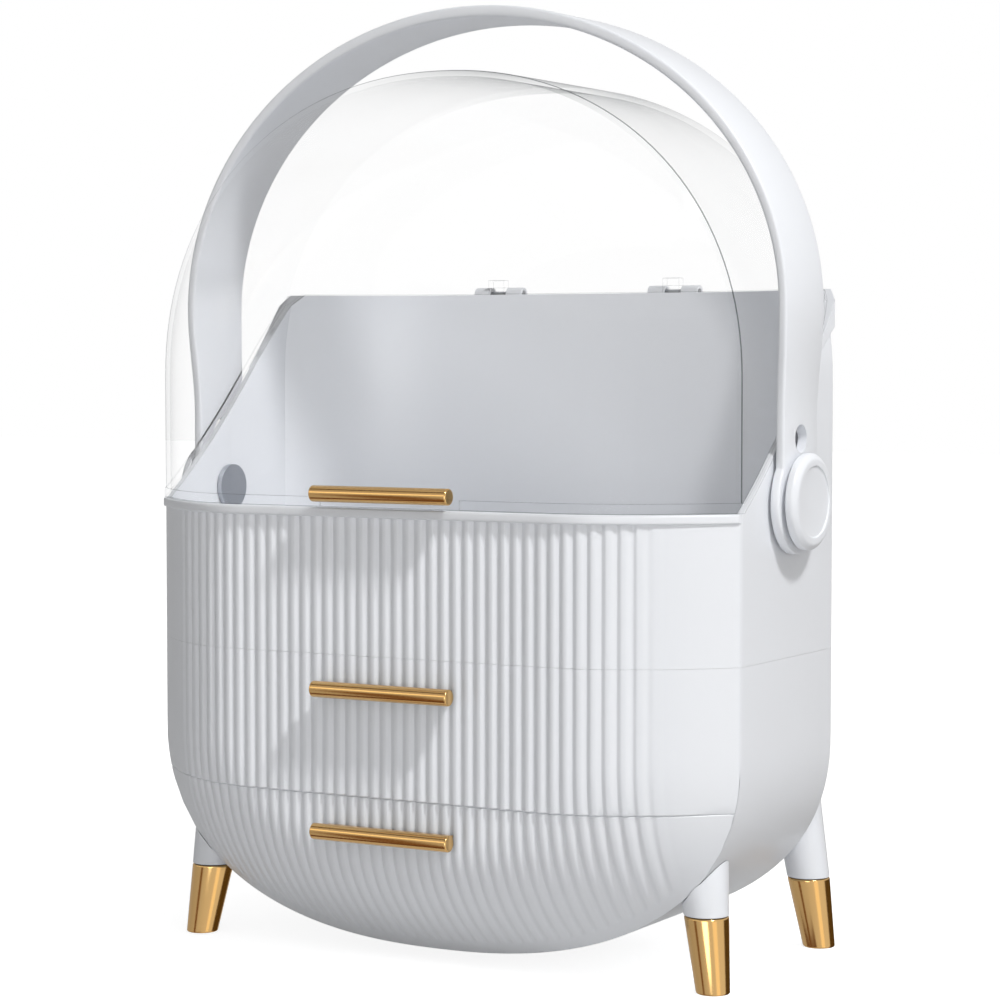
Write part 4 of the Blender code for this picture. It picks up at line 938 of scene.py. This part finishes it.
arm_face = BODY_HALF_WIDTH + HANDLE_WALL_GAP + HANDLE_THICKNESS_SIDE
bore_length = BODY_HALF_WIDTH + STUD_END_FROM_WALL - arm_face
cap_corners = [(0, CAP_NECK_RADIUS), (CAP_NECK_LENGTH, CAP_NECK_RADIUS), (CAP_NECK_LENGTH, CAP_RADIUS),
               (CAP_NECK_LENGTH + CAP_RIM_LENGTH, CAP_RADIUS), (CAP_LENGTH, CAP_FACE_RADIUS),
               (CAP_LENGTH, CAP_FIELD_RADIUS), (CAP_LENGTH - CAP_FIELD_DEPTH, CAP_FIELD_RADIUS),
               (CAP_LENGTH - CAP_FIELD_DEPTH, GAP)]
for side, word in ((-1, "left"), (1, "right")):
    start = Vector((side * (arm_face + GAP), 0, PIVOT_Z))
    cap = turned("cap", rounded(cap_corners, CAP_ROUND), start, (side, 0, 0), CAP_SIDES)
    cut(cap, turned("bore", [(-CASE_WALL, STUD_RADIUS + GAP), (bore_length, STUD_RADIUS + GAP)], start,
                    (side, 0, 0)))
    place(cap, "pivot_cap_" + word, "case", WHITE)

# %% [markdown]
# ## Gold pulls
# Each pull is a polished round bar with small flat ends, on a narrow web that stands it off the front. The
# bar could be a plain cylinder, but plating shows every edge as a bright or dark ring, so its ends are
# rounded in the outline that is turned.

# %% Gold pulls
PULL_LENGTH = 65.5 * MM
PULL_RADIUS = 3.4 * MM
PULL_SIDES = 72
PULL_STAND_OFF = 7.1 * MM
PULL_END_ROUND = 0.8 * MM
PULL_WEB_HEIGHT = 4.5 * MM
PULL_WEB_INSET = 3 * MM
LID_PULL_Z = 198.9 * MM
UPPER_PULL_Z = 118.5 * MM
LOWER_PULL_Z = 59.7 * MM
FRONT_Y = -(SIDE_HALF_DEPTH + BULGE)
PULL_Y = FRONT_Y - PULL_STAND_OFF

pulls = (("lid_pull", "lid", LID_PULL_Z, 0), ("upper_drawer_pull", "upper_drawer", UPPER_PULL_Z, 0),
         ("lower_drawer_pull", "lower_drawer", LOWER_PULL_Z, LOWER_FRONT_SET_BACK))
for name, body, z, set_back in pulls:
    half = PULL_LENGTH / 2
    corners = [(0, GAP), (0, PULL_RADIUS), (PULL_LENGTH, PULL_RADIUS), (PULL_LENGTH, GAP)]
    bar = turned(name, rounded(corners, PULL_END_ROUND), (-half, PULL_Y, z), (1, 0, 0), PULL_SIDES)
    web = slab((PULL_Y, FRONT_Y + set_back - GAP), (z - PULL_WEB_HEIGHT / 2, z + PULL_WEB_HEIGHT / 2),
               (PULL_WEB_INSET - half, half - PULL_WEB_INSET))
    place(join(bar, web), name, body, GOLD)

# %% [markdown]
# ## Legs
# Four tapered round legs lean outwards from the belly. Each is a white moulding, cut to the belly's curve
# where it meets it, with a gold ferrule at its foot. A cone turned aslant would stand on the edge of its
# sole, so the rings of a leg stay level, and only their middles follow the leaning line.

# %% Legs
TIP_HEIGHT = 30.5 * MM
TIP_FOOT_RADIUS = 6.9 * MM
TIP_TOP_RADIUS = 9.15 * MM
SOLE_ROUND = 0.9 * MM
SOLE_MIDDLE_RADIUS = 0.01 * MM
LEG_TOP_RADIUS = 11.4 * MM
LEG_SIDES = 64
SPIGOT_RADIUS = 5 * MM
SPIGOT_LENGTH = 10 * MM
FEET = {"front": {"foot": (125.5 * MM, -39.4 * MM), "top": (117.0 * MM, -34.1 * MM), "top_z": 60 * MM},
        "rear": {"foot": (125.5 * MM, 66.5 * MM), "top": (114.4 * MM, 56.8 * MM), "top_z": 92 * MM}}


def leaning_round(name, foot, top, profile):
    """A round piece along a leg's leaning axis, from (height, radius) pairs."""
    rings = []
    for z, radius in profile:
        middle = foot.lerp(top, z / top.z)
        rings.append([(middle.x + radius * cos(2 * pi * i / LEG_SIDES),
                       middle.y + radius * sin(2 * pi * i / LEG_SIDES), z) for i in range(LEG_SIDES)])
    return loft(name, rings)


for end, places in FEET.items():
    for side, word in ((-1, "left"), (1, "right")):
        top_z = places["top_z"]
        foot = Vector((side * places["foot"][0], places["foot"][1], 0))
        top = Vector((side * places["top"][0], places["top"][1], top_z))
        base_z = TIP_HEIGHT + GAP
        corners = [(TIP_HEIGHT - SPIGOT_LENGTH + GAP, SPIGOT_RADIUS), (base_z, SPIGOT_RADIUS),
                   (base_z, TIP_TOP_RADIUS), (top_z, LEG_TOP_RADIUS)]
        leg = leaning_round("leg", foot, top, corners[:2] + rounded(corners[1:], EDGE_ROUND)[1:])
        place(cut(leg, egg(-GAP)), f"leg_{end}_{word}", "case", WHITE)
        corners = [(0, SOLE_MIDDLE_RADIUS), (0, TIP_FOOT_RADIUS), (TIP_HEIGHT, TIP_TOP_RADIUS),
                   (TIP_HEIGHT, SPIGOT_RADIUS + GAP)]
        hollow_floor = (TIP_HEIGHT - SPIGOT_LENGTH, SPIGOT_RADIUS + GAP)
        tip = leaning_round("tip", foot, top, rounded(corners, SOLE_ROUND) + [hollow_floor])
        place(tip, f"leg_tip_{end}_{word}", "case", GOLD)

# %% [markdown]
# ## Pieces that keep their plain solids
# Trays, the shelf, screws, studs and pins are hidden, or small and simple, and have the right shape already.
# Making them again would add nothing that shows, so they get only their finish.

# %% Kept solids
plain_finishes = {"tray": MATT, "shelf": MATT, "screw": STEEL, "stud": STEEL, "pin": STEEL}
kept = 0
for name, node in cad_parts.items():
    for word, material in plain_finishes.items():
        if word in name:
            for slot in node.material_slots:
                slot.material = material
            kept += 1
print("kept solids:", kept)

# %% [markdown]
# ## Studio
# The object stands on a white sweep in a white surround, as for a catalogue photograph. A soft lamp high on
# the right in front shades the ribs and gives the long soft shadows under the pulls, and a large weak lamp
# low in front lightens the middle. The surround could light everything by itself, but then no pull would cast
# a clear shadow. Six coloured cards show only in reflections, as the light and brown bands of the gold.

# %% Sweep
FLOOR_HALF = 6.0
FLOOR_THICKNESS = 10 * MM
FLOOR_SHARE = 0.60
PAPER_COLOUR = "#C8C8C8"
PAPER_GLOW = 0.85

floor = slab((-FLOOR_HALF, FLOOR_HALF), (-FLOOR_THICKNESS, 0), (-FLOOR_HALF, FLOOR_HALF), "floor")
paper = bpy.data.materials.new("white_paper_sweep")
paper.use_nodes = True
tree = paper.node_tree
ray = add(tree, "ShaderNodeLightPath")
pale = add(tree, "ShaderNodeBsdfDiffuse", {"Color": srgb(PAPER_COLOUR)})
dim = add(tree, "ShaderNodeBsdfDiffuse", {"Color": (FLOOR_SHARE, FLOOR_SHARE, FLOOR_SHARE, 1)})
glow = add(tree, "ShaderNodeEmission", {"Color": (1, 1, 1, 1), "Strength": PAPER_GLOW})
lit = add(tree, "ShaderNodeAddShader", {0: pale.outputs[0], 1: glow.outputs[0]})
bright = add(tree, "ShaderNodeMath", {0: ray.outputs["Is Camera Ray"], 1: ray.outputs["Is Transmission Ray"]},
             operation="MAXIMUM")
shown = add(tree, "ShaderNodeMixShader", {0: bright.outputs[0], 1: dim.outputs[0], 2: lit.outputs[0]})
tree.links.new(shown.outputs[0], tree.nodes["Material Output"].inputs["Surface"])
floor.data.materials.append(paper)
floor.visible_glossy = False

# %% Surround
AMBIENT = 0.365
AMBIENT_TILT = (0.356, 0, 0)
GLOSSY_SHARE = 0.48

world = bpy.data.worlds.new("surround")
bpy.context.scene.world = world
world.use_nodes = True
sky = world.node_tree
ray = add(sky, "ShaderNodeLightPath")
seen = add(sky, "ShaderNodeMath", {0: ray.outputs["Is Camera Ray"], 1: ray.outputs["Is Transmission Ray"]},
           operation="MAXIMUM")
shine = add(sky, "ShaderNodeMath", {0: ray.outputs["Is Glossy Ray"], 1: GLOSSY_SHARE}, operation="MULTIPLY")
seen = add(sky, "ShaderNodeMath", {0: seen.outputs[0], 1: shine.outputs[0]}, operation="MAXIMUM")
toward = add(sky, "ShaderNodeTexCoord").outputs["Generated"]
tilt = add(sky, "ShaderNodeVectorMath", {0: toward, 1: AMBIENT_TILT}, operation="DOT_PRODUCT")
soft = add(sky, "ShaderNodeMath", {0: tilt.outputs["Value"], 1: AMBIENT}, operation="ADD")
strength = add(sky, "ShaderNodeMix", {0: seen.outputs[0], 2: soft.outputs[0], 3: 1.0}, data_type="FLOAT")
sky.links.new(strength.outputs[0], sky.nodes["Background"].inputs["Strength"])
sky.nodes["Background"].inputs["Color"].default_value = (1, 1, 1, 1)

# %% Lamps
LAMP_AIM = (0, 0, 0.2)


def aim_at(made, place, aim):
    """Stands a lamp or card at a place and turns its face to its aim."""
    made.location = place
    made.rotation_euler = (Vector(aim) - Vector(place)).to_track_quat("-Z", "Y").to_euler()


def lamp(name, place, size, watts):
    """A round soft lamp aimed at the middle of the body."""
    light = bpy.data.lights.new(name, "AREA")
    light.shape = "DISK"
    light.size = size
    light.energy = watts
    made = bpy.data.objects.new(name, light)
    bpy.context.collection.objects.link(made)
    aim_at(made, place, LAMP_AIM)
    print(name, watts, "W")


lamp("key_lamp", place=(1.95, -0.81, 2.58), size=0.36, watts=58)
lamp("front_lamp", place=(0.75, -2.3, 0.2), size=1.2, watts=10.5)

# %% Cards
PULL_AIM = (0, 0, 0.15)
TIP_AIM = (0, 0, 0)


def card(name, place, aim, width, height, colour, strength):
    """A studio card that only shows in glossy pieces, as the dark and light bands along plated metal."""
    made = slab((-height / 2, height / 2), (-MM, MM), (-width / 2, width / 2), name)
    aim_at(made, place, aim)
    for ray_kind in ("camera", "diffuse", "shadow", "transmission", "volume_scatter"):
        setattr(made, "visible_" + ray_kind, False)
    skin = bpy.data.materials.new(name)
    skin.use_nodes = True
    glow = add(skin.node_tree, "ShaderNodeEmission", {"Color": srgb(colour), "Strength": strength})
    skin.node_tree.links.new(glow.outputs[0], skin.node_tree.nodes["Material Output"].inputs["Surface"])
    made.data.materials.append(skin)


card("cream_streak_card", place=(-0.75, -1.3, 0.66), aim=PULL_AIM, width=3.0, height=0.34,
     colour="#FFF8E8", strength=1.5)
card("thin_dark_card", place=(-0.55, -0.95, 1.5), aim=PULL_AIM, width=2.6, height=0.3,
     colour="#4A3014", strength=1.0)
card("low_dark_card", place=(-0.75, -1.25, -0.42), aim=PULL_AIM, width=0.34, height=1.2,
     colour="#7A5630", strength=1.0)
card("deep_brown_card", place=(-0.6, -1.0, -1.15), aim=PULL_AIM, width=2.4, height=0.5,
     colour="#6A4420", strength=1.0)
card("tip_light_card", place=(1.40, -0.62, -0.32), aim=TIP_AIM, width=0.6, height=1.4,
     colour="#FFF6E4", strength=1.3)
card("tip_dark_card", place=(0.75, 1.3, -0.5), aim=TIP_AIM, width=2.0, height=1.6,
     colour="#5C4A28", strength=1.0)

# %% [markdown]
# ## Camera
# The camera stands where the photograph was taken from: to the right in front, a little above the middle of
# the object and looking slightly down. A long lens from about 1.2 m keeps the upright lines nearly parallel.
# Its place could be found by eye, but it was worked out from points of the photograph instead, together with
# the proportions of the body.

# %% Camera
FOCAL_LENGTH = 102.75
SENSOR_WIDTH = 36
CAMERA_PLACE = (0.6153, -1.0644 + MIDDLE_SHIFT, 0.2546)
CAMERA_DIP = 0.050
CAMERA_TURN = 0.521

lens = bpy.data.cameras.new("camera")
lens.lens = FOCAL_LENGTH
lens.sensor_width = SENSOR_WIDTH
camera = bpy.data.objects.new("camera", lens)
bpy.context.collection.objects.link(camera)
camera.location = CAMERA_PLACE
camera.rotation_euler = (pi / 2 - CAMERA_DIP, 0, CAMERA_TURN)
bpy.context.scene.camera = camera
bpy.context.scene.view_settings.view_transform = "Standard"
print("camera", round(Vector(CAMERA_PLACE).length, 2), "m from the middle of the floor plan")
